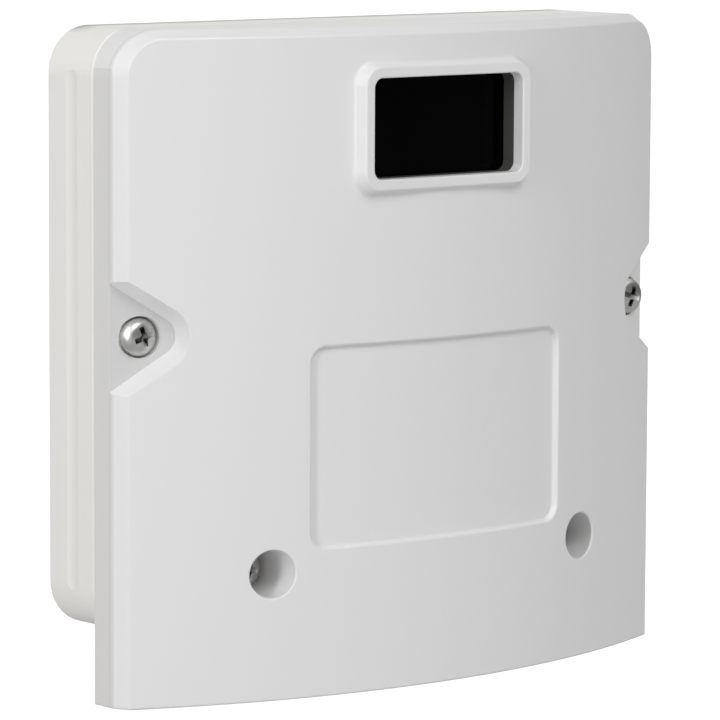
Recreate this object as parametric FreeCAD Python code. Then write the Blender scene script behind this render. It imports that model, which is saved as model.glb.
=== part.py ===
import FreeCAD, Part
import math
import os

# Wall-mounted remote control receiver: a flat plastic box in two shells with its circuit inside.
# Units are millimetres. X runs to the right and Z upwards for someone facing the cover.
# The wall plane is Y = 0, the cover looks along -Y, and the origin is midway between the four wall holes.

# Driving dimensions of the two shells
COVER_WIDTH = 123.2
COVER_HEIGHT = 116.0
BODY_HEIGHT = 103.9
BODY_DEPTH = 13.1
FACE_DEPTH = 34.4
FACE_RADIUS = 146.0
CORNER_RADIUS = 8.0
WALL = 2.2
CHAMFER_WIDTH = 1.45
CHAMFER_DEPTH = 2.35
CHAMFER_ROUND = 0.4
SKIRT_ROUND = 0.5
SEAM_BEVEL = 0.25
REAR_ROUND = 0.8
FLUTE_WIDTH = 3.2
FLUTE_DEPTH = 0.22
FLUTE_BACK = 7.1
FLUTE_END_GAP = 8.6
LIP_THICKNESS = 1.2
LIP_HEIGHT = 1.6
LIP_CLEARANCE = 0.2

# Window, its raised rim and the smoked lens behind it
WINDOW_WIDTH = 34.0
WINDOW_HEIGHT = 17.5
WINDOW_TOP_GAP = 8.85
WINDOW_SHIFT = 0.7
WINDOW_CORNER = 1.75
RIM_LAND = 1.9
RIM_PROUD = 1.0
RIM_DRAFT = 0.33
RIM_CORNER = 3.2
RIM_OUTER_ROUND = 0.4
RIM_INNER_ROUND = 0.3
RIM_FOOT_ROUND = 0.8
RIM_WALL = 2.5
LENS_RIM = 1.8
LENS_CLEARANCE = 0.15
LENS_DEPTH = 2.8
LENS_FLOOR = 1.4
LENS_EAR_LENGTH = 5.4
LENS_EAR_HEIGHT = 6.0
STAKE_RADIUS = 1.0
STAKE_LENGTH = 3.0

# Shallow label field on the face
LABEL_WIDTH = 56.8
LABEL_HEIGHT = 35.0
LABEL_RISE = 14.0
LABEL_CORNER = 3.0
LABEL_DEPTH = 1.0
LABEL_MOUTH_ROUND = 0.5
LABEL_FLOOR_ROUND = 0.45

# Side notches with a flat sloping floor, a three-sided wall and a sunk screw seat
NOTCH_DEPTH = 2.8
NOTCH_FLOOR_SLOPE = 0.38
NOTCH_SLOPE = 0.86
NOTCH_HALF_HEIGHT = 9.75
NOTCH_DRAFT = 0.54
NOTCH_TIP_RADIUS = 4.9
NOTCH_TIP_TAPER = 0.83
NOTCH_TIP_LEAST = 0.3
NOTCH_LIP_ROUND = 0.25
SIDE_SCREW_INSET = 5.05
SIDE_SCREW_DROP = 1.2
SIDE_SEAT_HEIGHT = 5.0
SIDE_SEAT_RADIUS = 3.6
SIDE_POST_WALL = 1.6

# Lower screw wells
LOWER_SCREW_X = 35.6
LOWER_SCREW_RISE = 10.1
WELL_RADIUS = 4.2
WELL_DEPTH = 9.5
WELL_WALL = 2.0
WELL_ROUND = 0.3

# Self-tapping cover screws, 3.5 x 13 with pan heads and cross recesses
SCREW_HEAD_RADIUS = 3.32
SCREW_HEAD_HEIGHT = 2.95
SCREW_RADIUS = 1.75
SCREW_LENGTH = 13.0
SCREW_CORE_RADIUS = 1.32
SCREW_PITCH = 1.27
RECESS_SPAN = 4.4
RECESS_SLOT = 0.95
RECESS_DEPTH = 1.6
SCREW_HOLE_CLEARANCE = 0.25
THREAD_CLEARANCE = 0.05
SCREW_TIP_ROOM = 1.2
BOSS_RADIUS = 4.0
SIDE_TURN = 17.0
LOWER_TURN = 12.0

# Wall fixing holes, by their height apart and their distance from the top and side edges
WALL_HOLE_RADIUS = 2.25
WALL_HOLE_SPREAD_Z = 76.0
WALL_HOLE_INSET_X = 8.6
WALL_HOLE_INSET_Z = 13.0
WALL_PAD_RADIUS = 4.8
WALL_PAD_HEIGHT = 1.0

# Cable entry in the body's bottom wall, with its rubber grommet
ENTRY_WIDTH = 26.0
ENTRY_DEPTH = 8.0
ENTRY_BACK = 3.6
GROMMET_WALL = 1.4
GROMMET_FLANGE = 1.0
GROMMET_FLANGE_THICKNESS = 1.2
GROMMET_CLEARANCE = 0.05

# Circuit board and its standoffs
BOARD_THICKNESS = 1.6
BOARD_SIDE_GAP = 12.4
BOARD_BOTTOM_GAP = 17.7
BOARD_TOP_GAP = 4.8
BOARD_SCREW_INSET = 4.0
STANDOFF_HEIGHT = 5.0
STANDOFF_RADIUS = 3.0
BOARD_SCREW_RADIUS = 1.3
BOARD_SCREW_HEAD_RADIUS = 2.7
BOARD_SCREW_HEAD_HEIGHT = 1.8
BOARD_SCREW_LENGTH = 6.5
BOARD_SCREW_TURN = 25.0
BOARD_SCREW_HOLE = 1.6
LEAD_CLEARANCE = 0.12
LEAD_OUT = 1.2

# Terminal block with screw clamps
TERMINAL_COUNT = 6
TERMINAL_PITCH = 5.08
TERMINAL_DEPTH = 10.0
TERMINAL_HEIGHT = 14.0
TERMINAL_EDGE_GAP = 0.2
CLAMP_WIDTH = 3.5
CLAMP_LENGTH = 3.8
CLAMP_WALL = 0.5
CLAMP_FLOOR = 0.9
CLAMP_TOP = 1.2
CLAMP_WINDOW = 4.1
CLAMP_TRAVEL = 1.8
CLAMP_CLEARANCE = 0.15
CLAMP_FOOT = 0.8
CONTACT_WIDTH = 2.0
CONTACT_THICKNESS = 0.8
CLAMP_SCREW_RADIUS = 1.25
CLAMP_SCREW_HEAD_RADIUS = 1.85
CLAMP_SCREW_HEAD_HEIGHT = 1.8
CLAMP_SCREW_SLOT = 0.6

# Relays
RELAY_WIDTH = 19.2
RELAY_LENGTH = 15.5
RELAY_HEIGHT = 15.3
RELAY_GAP = 3.0
RELAY_EDGE = 0.6
RELAY_TERMINAL_GAP = 1.8

# Radio module, standing on a pin header, and its coil antenna
RADIO_WIDTH = 16.0
RADIO_HEIGHT = 32.0
RADIO_THICKNESS = 1.0
RADIO_RAISE = 2.6
RADIO_PIN_COUNT = 8
RADIO_CAN_HEIGHT = 2.6
HEADER_PITCH = 2.54
HEADER_PIN = 0.64
COIL_TURNS = 14
COIL_RADIUS = 2.3
COIL_PITCH = 1.8
COIL_WIRE = 0.4
COIL_RAISE = 5.5

# Learn button
BUTTON_SIZE = 6.0
BUTTON_BASE_HEIGHT = 3.5
BUTTON_TOP = 7.0
BUTTON_RADIUS = 1.75
BUTTON_CLEARANCE = 0.05
BUTTON_FLANGE = 0.5
BUTTON_PLATE = 0.6
BUTTON_TRAVEL = 0.25

# Mode jumper
JUMPER_PIN_COUNT = 3
JUMPER_STRIP = 2.5
JUMPER_PIN_TOP = 8.2
JUMPER_CAP_HEIGHT = 6.0
JUMPER_CAP_WALL = 0.6
JUMPER_CLEARANCE = 0.08

# Lamps behind the window
LED_RADIUS = 2.5
LED_FLANGE = 0.4
LED_FLANGE_HEIGHT = 1.0
LED_HEIGHT = 8.6
LED_LENS_GAP = 1.2
LED_SPREAD = 16.0
LED_LEG_RADIUS = 0.27

# Further sizes of the terminal block
CONTACT_LEG_INSET = 1.6
CLAMP_CENTRE_INSET = 4.5
CONTACT_PIN_RADIUS = 0.45
TERMINAL_SLOT_TURN = 23.0

# Pins of a relay from its centre, as X and Z
RELAY_PINS = [(-7.1, 0.0), (-5.1, -6.0), (-5.1, 6.0), (7.1, -6.0), (7.1, 6.0)]
RELAY_PIN_RADIUS = 0.45

# Chips in two-row packages and the crystal
CHIP_ROW = 7.62
CHIP_WIDTH = 6.4
CHIP_THICKNESS = 3.3
CHIP_RAISE = 0.6
CHIP_LEG = 0.5
CHIP_LEG_THICKNESS = 0.28
CHIP_LEG_HOLE = 0.3
CHIP_END_GAP = 0.2
CHIP_NOTCH_RADIUS = 1.0
CHIP_SHIFT = 2.5
MICROCONTROLLER_X = -13.5
MICROCONTROLLER_LEG_COUNT = 18
MEMORY_CHIP_X = 8.5
MEMORY_CHIP_LEG_COUNT = 8
CRYSTAL_LENGTH = 11.0
CRYSTAL_WIDTH = 4.5
CRYSTAL_HEIGHT = 3.6
CRYSTAL_FLANGE = 0.4
CRYSTAL_FLANGE_HEIGHT = 0.5
CRYSTAL_LEAD = 4.88
CRYSTAL_LEAD_RADIUS = 0.25
CRYSTAL_GAP = 2.2

# Places on the board, from its nearer side edge and its lower edge
RADIO_INSET_X = 11.0
RADIO_TOP_INSET = 8.0
RADIO_PIN_INSET = 1.6
ANTENNA_FOOT_INSET = 1.8
ANTENNA_FOOT_RISE = 2.0
BUTTON_INSET_X = 8.5
BUTTON_RISE = 15.0
BUTTON_LEG_X = 3.25
BUTTON_LEG_Z = 2.25
BUTTON_LEG_RADIUS = 0.35
JUMPER_INSET_X = 20.5
JUMPER_RISE = 13.0
REGULATOR_INSET_X = 14.0
REGULATOR_RISE = 35.0
FILTER_CAPACITOR_INSET_X = 17.0
FILTER_CAPACITOR_RISE = 20.0
OUTPUT_CAPACITOR_INSET_X = 25.5
OUTPUT_CAPACITOR_RISE = 35.0
DIODE_INSETS = (3.2, 7.0)
DIODE_RISES = (15.0, 27.5)
VARISTOR_INSET_X = 21.0
VARISTOR_RISE = 6.0
TRANSISTOR_INSET_X = 18.5
TRANSISTOR_SPREAD = 7.2
TRANSISTOR_RISE = 24.0
RESISTOR_INSET_X = 9.0
RESISTOR_RISE = 43.0
RESISTOR_STEP = 3.6

# Radio can and header strips
CAN_PIN_SIDE_GAP = 3.6
CAN_FAR_SIDE_GAP = 1.0
CAN_LOW_GAP = 4.0
CAN_HIGH_GAP = 3.0
CAN_ROUND = 0.4
CAN_SHEET = 0.25
STRIP_HALF_WIDTH = 1.25
PIN_HOLE_FACTOR = 0.72

# Power supply and small parts
REGULATOR_WIDTH = 10.2
REGULATOR_BODY = 9.2
REGULATOR_DEPTH = 4.4
REGULATOR_STAND = 1.5
REGULATOR_TAB = 6.2
REGULATOR_TAB_THICKNESS = 1.3
REGULATOR_TAB_HOLE = 1.85
REGULATOR_FACE_GAP = 8.7
REGULATOR_LEG_RADIUS = 0.4
FILTER_CAPACITOR_RADIUS = 5.0
FILTER_CAPACITOR_HEIGHT = 16.5
OUTPUT_CAPACITOR_RADIUS = 4.0
OUTPUT_CAPACITOR_HEIGHT = 12.0
CAPACITOR_STAND = 0.4
CAPACITOR_LEG_RADIUS = 0.3
DIODE_SPAN = 10.0
DIODE_RADIUS = 1.35
DIODE_BODY = 5.2
DIODE_LEAD = 0.35
VARISTOR_RADIUS = 5.0
VARISTOR_THICKNESS = 4.0
VARISTOR_SPAN = 5.0
VARISTOR_STAND = 1.0
VARISTOR_LEAD = 0.35
TRANSISTOR_RADIUS = 2.3
TRANSISTOR_HEIGHT = 4.8
TRANSISTOR_STAND = 2.0
TRANSISTOR_LEG_RADIUS = 0.25
RESISTOR_SPAN = 10.16
RESISTOR_RADIUS = 1.15
RESISTOR_BODY = 6.3
RESISTOR_LEAD = 0.28
RESISTOR_COUNT = 5

# Values that follow from the driving dimensions
HALF_WIDTH = COVER_WIDTH / 2
TOP = WALL_HOLE_SPREAD_Z / 2 + WALL_HOLE_INSET_Z
BODY_BOTTOM = TOP - BODY_HEIGHT
COVER_BOTTOM = TOP - COVER_HEIGHT
SEAM = -BODY_DEPTH
FACE_AXIS = FACE_RADIUS - FACE_DEPTH
BOARD_BACK = -(WALL + STANDOFF_HEIGHT)
BOARD_FRONT = BOARD_BACK - BOARD_THICKNESS
BOARD_RIGHT = HALF_WIDTH - WALL - BOARD_SIDE_GAP
BOARD_LEFT = -BOARD_RIGHT
BOARD_LOW = BODY_BOTTOM + WALL + BOARD_BOTTOM_GAP
BOARD_HIGH = TOP - WALL - BOARD_TOP_GAP
WINDOW_HIGH = TOP - WINDOW_TOP_GAP
WINDOW_LOW = WINDOW_HIGH - WINDOW_HEIGHT
WINDOW_MIDDLE = (WINDOW_HIGH + WINDOW_LOW) / 2
WINDOW_LEFT = -WINDOW_WIDTH / 2 - WINDOW_SHIFT
WINDOW_RIGHT = WINDOW_WIDTH / 2 - WINDOW_SHIFT
RIM_PLANE = -FACE_DEPTH - RIM_PROUD
LENS_SEAT = RIM_PLANE + RIM_WALL
LENS_BACK = LENS_SEAT + LENS_DEPTH + LENS_FLOOR
SIDE_SCREW_X = HALF_WIDTH - SIDE_SCREW_INSET
SIDE_SCREW_Z = -SIDE_SCREW_DROP
SIDE_SEAT = SEAM - SIDE_SEAT_HEIGHT
LOWER_SCREW_Z = BODY_BOTTOM + LOWER_SCREW_RISE


def face_y(x, depth=0.0):
    """Y of the curved face, or of a surface that lies depth behind it, at a distance x from the middle."""
    radius = FACE_RADIUS - depth
    return FACE_AXIS - math.sqrt(radius ** 2 - x ** 2)


WELL_SEAT = face_y(LOWER_SCREW_X) + WELL_DEPTH


def above_board(height):
    """Y of a point that stands the given height in front of the board."""
    return BOARD_FRONT - height


def point(x, y, z):
    return FreeCAD.Vector(x, y, z)


def box(x0, x1, y0, y1, z0, z1):
    return Part.makeBox(x1 - x0, y1 - y0, z1 - z0, point(x0, y0, z0))


def round_bar(x, z, radius, y0, y1):
    """Cylinder along Y between two depths."""
    return Part.makeCylinder(radius, y1 - y0, point(x, y0, z), point(0, 1, 0))


def bar_along_x(y, z, radius, x0, x1):
    return Part.makeCylinder(radius, x1 - x0, point(x0, y, z), point(1, 0, 0))


def bar_along_z(x, y, radius, z0, z1):
    return Part.makeCylinder(radius, z1 - z0, point(x, y, z0), point(0, 0, 1))


def rounded_outline(x0, x1, z0, z1, low_radius, high_radius, y):
    """Closed wire of a rectangle in a plane of constant Y, with its lower and upper corners rounded."""
    edges = []

    def corner(x, z, radius, start):
        middle = math.radians(start + 45)
        a, b = math.radians(start), math.radians(start + 90)
        points = [point(x + radius * math.cos(t), y, z + radius * math.sin(t)) for t in (a, middle, b)]
        return points, Part.Arc(*points).toShape()

    corners = [
        corner(x1 - high_radius, z1 - high_radius, high_radius, 0),
        corner(x0 + high_radius, z1 - high_radius, high_radius, 90),
        corner(x0 + low_radius, z0 + low_radius, low_radius, 180),
        corner(x1 - low_radius, z0 + low_radius, low_radius, 270),
    ]
    for index, (points, arc) in enumerate(corners):
        following = corners[(index + 1) % 4][0]
        edges.append(arc)
        edges.append(Part.makeLine(points[2], following[0]))
    return Part.Wire(edges)


def rounded_prism(x0, x1, z0, z1, low_radius, high_radius, y0, y1):
    """Rounded rectangle drawn at y0 and carried to y1."""
    wire = rounded_outline(x0, x1, z0, z1, low_radius, high_radius, y0)
    return Part.Face(wire).extrude(point(0, y1 - y0, 0))


def behind_face(depth):
    """Large cylinder whose surface lies depth behind the curved face."""
    return Part.makeCylinder(
        FACE_RADIUS - depth, 4 * COVER_HEIGHT, point(0, FACE_AXIS, -2 * COVER_HEIGHT), point(0, 0, 1)
    )


def side_pair(shape):
    """The shape with its mirror image on the other side of the middle plane."""
    return [shape, shape.mirror(point(0, 0, 0), point(1, 0, 0))]


def joined(shapes):
    result = shapes[0].fuse(shapes[1:]) if len(shapes) > 1 else shapes[0]
    return result.removeSplitter()


def edges_where(shape, test):
    return [edge for edge in shape.Edges if test(edge)]


def write(name, shape):
    """Save one named piece, a single solid or a group of separate solids."""
    solids = shape.Solids
    kept = solids[0] if len(solids) == 1 else Part.Compound(solids)
    if not kept.isValid():
        raise RuntimeError(name + " is not a valid shape")
    kept.exportStep("parts/" + name + ".step")
    print(name, len(solids), "solid(s)", round(kept.Volume, 2), "mm3")


# Rear body: an open tray that is screwed to the wall


def wall_hole_places():
    x = HALF_WIDTH - WALL_HOLE_INSET_X
    z = WALL_HOLE_SPREAD_Z / 2
    return [(sx * x, sz * z) for sx in (-1, 1) for sz in (-1, 1)]


def board_screw_places():
    x = BOARD_RIGHT - BOARD_SCREW_INSET
    return [
        (sx * x, z)
        for sx in (-1, 1)
        for z in (BOARD_LOW + BOARD_SCREW_INSET, BOARD_HIGH - BOARD_SCREW_INSET)
    ]


def cover_screw_places():
    """Name, X, Z, seat depth and turn of each cover screw."""
    return [
        ("side_screw_left", -SIDE_SCREW_X, SIDE_SCREW_Z, SIDE_SEAT, -SIDE_TURN),
        ("side_screw_right", SIDE_SCREW_X, SIDE_SCREW_Z, SIDE_SEAT, SIDE_TURN),
        ("lower_screw_left", -LOWER_SCREW_X, LOWER_SCREW_Z, WELL_SEAT, LOWER_TURN),
        ("lower_screw_right", LOWER_SCREW_X, LOWER_SCREW_Z, WELL_SEAT, -LOWER_TURN),
    ]


def flute():
    """Soft shallow channel down one side of the body, tapering out at both ends."""
    radius = (FLUTE_WIDTH ** 2 / 4 + FLUTE_DEPTH ** 2) / (2 * FLUTE_DEPTH)
    x = -HALF_WIDTH - radius + FLUTE_DEPTH
    low = BODY_BOTTOM + FLUTE_END_GAP
    high = TOP - FLUTE_END_GAP
    channel = bar_along_z(x, -FLUTE_BACK, radius, low, high)
    ends = [Part.makeSphere(radius, point(x, -FLUTE_BACK, z)) for z in (low, high)]
    return joined([channel] + ends)


def cable_slot(margin, z0, z1):
    """Long round-ended opening through the bottom wall, grown by a margin."""
    half = ENTRY_WIDTH / 2 + margin
    y0 = -ENTRY_BACK - ENTRY_DEPTH - margin
    y1 = -ENTRY_BACK + margin
    radius = (y1 - y0) / 2
    middle = (y0 + y1) / 2
    straight = box(-half + radius, half - radius, y0, y1, z0, z1)
    ends = [bar_along_z(side * (half - radius), middle, radius, z0, z1) for side in (-1, 1)]
    return joined([straight] + ends)


def rear_body():
    outside = rounded_prism(
        -HALF_WIDTH, HALF_WIDTH, BODY_BOTTOM, TOP, CORNER_RADIUS, CORNER_RADIUS, 0, SEAM
    )
    rear_edges = edges_where(outside, lambda e: abs(e.BoundBox.YMin) < 1e-6 and abs(e.BoundBox.YMax) < 1e-6)
    outside = outside.makeFillet(REAR_ROUND, rear_edges)
    front_edges = edges_where(
        outside, lambda e: abs(e.BoundBox.YMin - SEAM) < 1e-6 and abs(e.BoundBox.YMax - SEAM) < 1e-6
    )
    outside = outside.makeChamfer(SEAM_BEVEL, front_edges)
    inner_radius = CORNER_RADIUS - WALL
    inside = rounded_prism(
        -HALF_WIDTH + WALL, HALF_WIDTH - WALL, BODY_BOTTOM + WALL, TOP - WALL,
        inner_radius, inner_radius, -WALL, SEAM - 1,
    )
    shell = outside.cut(inside)
    shell = shell.cut(side_pair(flute()))
    added = []
    for name, x, z, seat, turn in cover_screw_places():
        added.append(round_bar(x, z, BOSS_RADIUS, SEAM, -WALL / 2))
    for x, z in board_screw_places():
        added.append(round_bar(x, z, STANDOFF_RADIUS, BOARD_BACK, -WALL / 2))
    for x, z in wall_hole_places():
        added.append(round_bar(x, z, WALL_PAD_RADIUS, -WALL - WALL_PAD_HEIGHT, -WALL / 2))
    shell = joined([shell] + added)
    removed = [cable_slot(0, BODY_BOTTOM - 1, BODY_BOTTOM + WALL + 1)]
    for name, x, z, seat, turn in cover_screw_places():
        bottom = seat + SCREW_LENGTH + SCREW_TIP_ROOM
        removed.append(round_bar(x, z, SCREW_RADIUS + THREAD_CLEARANCE, SEAM - 1, bottom))
    for x, z in board_screw_places():
        bottom = BOARD_FRONT + BOARD_SCREW_LENGTH + SCREW_TIP_ROOM / 2
        removed.append(round_bar(x, z, BOARD_SCREW_RADIUS + THREAD_CLEARANCE, BOARD_BACK - 1, bottom))
    for x, z in wall_hole_places():
        removed.append(round_bar(x, z, WALL_HOLE_RADIUS, -WALL - WALL_PAD_HEIGHT - 1, 1))
    return shell.cut(removed)


def cable_grommet():
    """Rubber bush that lines the cable slot, with a flange on each side of the wall."""
    z0 = BODY_BOTTOM - GROMMET_FLANGE_THICKNESS
    z1 = BODY_BOTTOM + WALL + GROMMET_FLANGE_THICKNESS
    neck = cable_slot(-GROMMET_CLEARANCE, z0, z1)
    flanges = [
        cable_slot(GROMMET_FLANGE, z0, BODY_BOTTOM),
        cable_slot(GROMMET_FLANGE, BODY_BOTTOM + WALL, z1),
    ]
    bush = joined([neck] + flanges)
    return bush.cut(cable_slot(-GROMMET_WALL, z0 - 1, z1 + 1))


# Front cover: a curved shell with a skirt, a window, a label field, notches and screw wells


def notch_outline(y, grow):
    """Wire of the notch at a depth y: two sloping sides with a round tip, open past the side wall."""
    edge_x = HALF_WIDTH - CHAMFER_WIDTH
    from_edge = y - face_y(edge_x)
    cosine = 1 / math.sqrt(1 + NOTCH_SLOPE ** 2)
    sine = NOTCH_SLOPE * cosine
    tip = edge_x - NOTCH_HALF_HEIGHT / NOTCH_SLOPE + NOTCH_DRAFT * from_edge - grow / sine
    radius = max(NOTCH_TIP_RADIUS - NOTCH_TIP_TAPER * (y - face_y(SIDE_SCREW_X)), NOTCH_TIP_LEAST) + grow
    centre_x = tip + radius / sine
    far_x = HALF_WIDTH + 3 * WALL
    touch_x = centre_x - radius * sine
    touch_z = radius * cosine
    far_z = (far_x - tip) * NOTCH_SLOPE
    low = point(far_x, y, SIDE_SCREW_Z - far_z)
    high = point(far_x, y, SIDE_SCREW_Z + far_z)
    touch_low = point(touch_x, y, SIDE_SCREW_Z - touch_z)
    touch_high = point(touch_x, y, SIDE_SCREW_Z + touch_z)
    nose = point(centre_x - radius, y, SIDE_SCREW_Z)
    return Part.Wire([
        Part.makeLine(low, touch_low),
        Part.Arc(touch_low, nose, touch_high).toShape(),
        Part.makeLine(touch_high, high),
        Part.makeLine(high, low),
    ])


def notch_body(grow):
    """Space of the notch from in front of the face to just behind its floor, grown by a wall if asked."""
    front = notch_outline(face_y(0.7 * HALF_WIDTH), grow)
    back = notch_outline(notch_floor_edge() + WALL / 8 + grow, grow)
    return Part.makeLoft([front, back], True, True)


def notch_floor_edge():
    """Y of the notch floor where it meets the side of the cover."""
    return face_y(HALF_WIDTH, NOTCH_DEPTH)


def behind_notch_floor(depth):
    """Slab behind the flat sloping floor of the right notch, starting depth behind it."""
    edge = notch_floor_edge() + depth
    far_x = HALF_WIDTH + 4 * WALL
    deep = edge + NOTCH_FLOOR_SLOPE * 4 * WALL + NOTCH_DEPTH
    outline = Part.makePolygon([
        point(0, edge - NOTCH_FLOOR_SLOPE * HALF_WIDTH, -COVER_HEIGHT),
        point(far_x, edge + NOTCH_FLOOR_SLOPE * 4 * WALL, -COVER_HEIGHT),
        point(far_x, deep, -COVER_HEIGHT),
        point(0, deep, -COVER_HEIGHT),
        point(0, edge - NOTCH_FLOOR_SLOPE * HALF_WIDTH, -COVER_HEIGHT),
    ])
    return Part.Face(outline).extrude(point(0, 0, 2 * COVER_HEIGHT))


def middle_of(edge):
    return edge.valueAt((edge.FirstParameter + edge.LastParameter) / 2)


def above_skirt(edge):
    return middle_of(edge).z > COVER_BOTTOM + 1e-3


def cover_outside():
    """Slab with two round top corners under the curved face, with its long front edges chamfered."""
    slab = rounded_prism(
        -HALF_WIDTH, HALF_WIDTH, COVER_BOTTOM - 2 * CORNER_RADIUS, TOP,
        CORNER_RADIUS, CORNER_RADIUS, SEAM, -FACE_DEPTH - 2,
    )
    slab = slab.common(box(-HALF_WIDTH - 1, HALF_WIDTH + 1, -FACE_DEPTH - 3, 0, COVER_BOTTOM, TOP + 1))
    slab = slab.common(behind_face(0))
    front = [e for e in slab.Edges if above_skirt(e) and abs(middle_of(e).y - face_y(middle_of(e).x)) < 1e-2]
    slab = slab.makeChamfer(CHAMFER_DEPTH, CHAMFER_WIDTH, front)

    def borders_chamfer(edge):
        middle = middle_of(edge)
        on_face = abs(middle.y - face_y(middle.x)) < 0.02
        on_side = abs(abs(middle.x) - HALF_WIDTH) < 1e-3 or abs(middle.z - TOP) < 1e-3
        low = middle.y < face_y(HALF_WIDTH) + CHAMFER_DEPTH + 0.1
        along = edge.Length > 2 * CHAMFER_DEPTH + CHAMFER_WIDTH
        return above_skirt(edge) and (on_face or on_side) and low and along

    slab = slab.makeFillet(CHAMFER_ROUND, edges_where(slab, borders_chamfer))
    rear = [e for e in slab.Edges if above_skirt(e) and e.BoundBox.YMin > SEAM - 1e-4]
    slab = slab.makeChamfer(SEAM_BEVEL, rear)
    return slab


def label_cutter():
    z0 = BODY_BOTTOM + LABEL_RISE
    prism = rounded_prism(
        -LABEL_WIDTH / 2, LABEL_WIDTH / 2, z0, z0 + LABEL_HEIGHT,
        LABEL_CORNER, LABEL_CORNER, -FACE_DEPTH - 2, face_y(LABEL_WIDTH / 2) + 2 * LABEL_DEPTH,
    )
    return prism.cut(behind_face(LABEL_DEPTH))


def window_rim():
    """Raised frame with sloping sides, flat in front, that grows out of the curved face."""
    rise = abs(RIM_PLANE - face_y(HALF_WIDTH / 2))
    wires = []
    for step in (0, rise):
        grow = RIM_LAND + RIM_DRAFT * step
        wires.append(rounded_outline(
            WINDOW_LEFT - grow, WINDOW_RIGHT + grow, WINDOW_LOW - grow, WINDOW_HIGH + grow,
            RIM_CORNER + RIM_DRAFT * step, RIM_CORNER + RIM_DRAFT * step, RIM_PLANE + step,
        ))
    return Part.makeLoft(wires, True, True)


def front_cover():
    outside = cover_outside()
    inner_radius = CORNER_RADIUS - WALL
    case_room = rounded_prism(
        -HALF_WIDTH + WALL, HALF_WIDTH - WALL, BODY_BOTTOM + WALL, TOP - WALL,
        inner_radius, inner_radius, SEAM + 1, -FACE_DEPTH,
    ).common(behind_face(WALL))
    body_outline = rounded_prism(
        -HALF_WIDTH, HALF_WIDTH, BODY_BOTTOM, TOP, CORNER_RADIUS, CORNER_RADIUS, SEAM + 2, -FACE_DEPTH - 2
    )
    skirt_room = box(
        -HALF_WIDTH + WALL, HALF_WIDTH - WALL, -FACE_DEPTH, SEAM + 1,
        COVER_BOTTOM - 1, BODY_BOTTOM + CORNER_RADIUS,
    ).common(behind_face(WALL)).cut(body_outline)
    shell = outside.cut([case_room, skirt_room])

    added = [window_rim().cut(behind_face(WALL))]
    backing = notch_body(WALL).cut(behind_notch_floor(WALL))
    post_x = SIDE_POST_WALL + SIDE_SEAT_RADIUS
    side_post = round_bar(SIDE_SCREW_X, SIDE_SCREW_Z, post_x, SIDE_SEAT - WALL, SEAM)
    inner_post = round_bar(SIDE_SCREW_X, SIDE_SCREW_Z, post_x, -FACE_DEPTH, SIDE_SEAT - WALL)
    added += side_pair(backing.common(outside))
    added += side_pair(side_post.common(outside))
    added += side_pair(inner_post.common(outside))
    tube = round_bar(LOWER_SCREW_X, LOWER_SCREW_Z, WELL_RADIUS + WELL_WALL, -FACE_DEPTH, SEAM)
    added += side_pair(tube.common(outside))
    for x in stake_places():
        added.append(round_bar(x, WINDOW_MIDDLE, STAKE_RADIUS, face_y(x, WALL / 2), stake_top()))
    added.append(locating_lip())
    shell = joined([shell] + added)

    removed = []
    removed += side_pair(notch_body(0).cut(behind_notch_floor(0)))
    for x in (-SIDE_SCREW_X, SIDE_SCREW_X):
        removed.append(round_bar(x, SIDE_SCREW_Z, SIDE_SEAT_RADIUS, -FACE_DEPTH, SIDE_SEAT))
    for x in (-LOWER_SCREW_X, LOWER_SCREW_X):
        removed.append(round_bar(x, LOWER_SCREW_Z, WELL_RADIUS, -FACE_DEPTH, WELL_SEAT))
    for name, x, z, seat, turn in cover_screw_places():
        removed.append(round_bar(x, z, SCREW_RADIUS + SCREW_HOLE_CLEARANCE, seat - 1, SEAM + 1))
    removed.append(label_cutter())
    removed.append(rounded_prism(
        WINDOW_LEFT, WINDOW_RIGHT, WINDOW_LOW, WINDOW_HIGH,
        WINDOW_CORNER, WINDOW_CORNER, RIM_PLANE - 1, SEAM,
    ))
    margin = LENS_RIM + LENS_CLEARANCE
    removed.append(rounded_prism(
        WINDOW_LEFT - margin, WINDOW_RIGHT + margin, WINDOW_LOW - margin, WINDOW_HIGH + margin,
        WINDOW_CORNER, WINDOW_CORNER, LENS_SEAT, SEAM,
    ))
    return softened_cover(shell.cut(removed))


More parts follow.
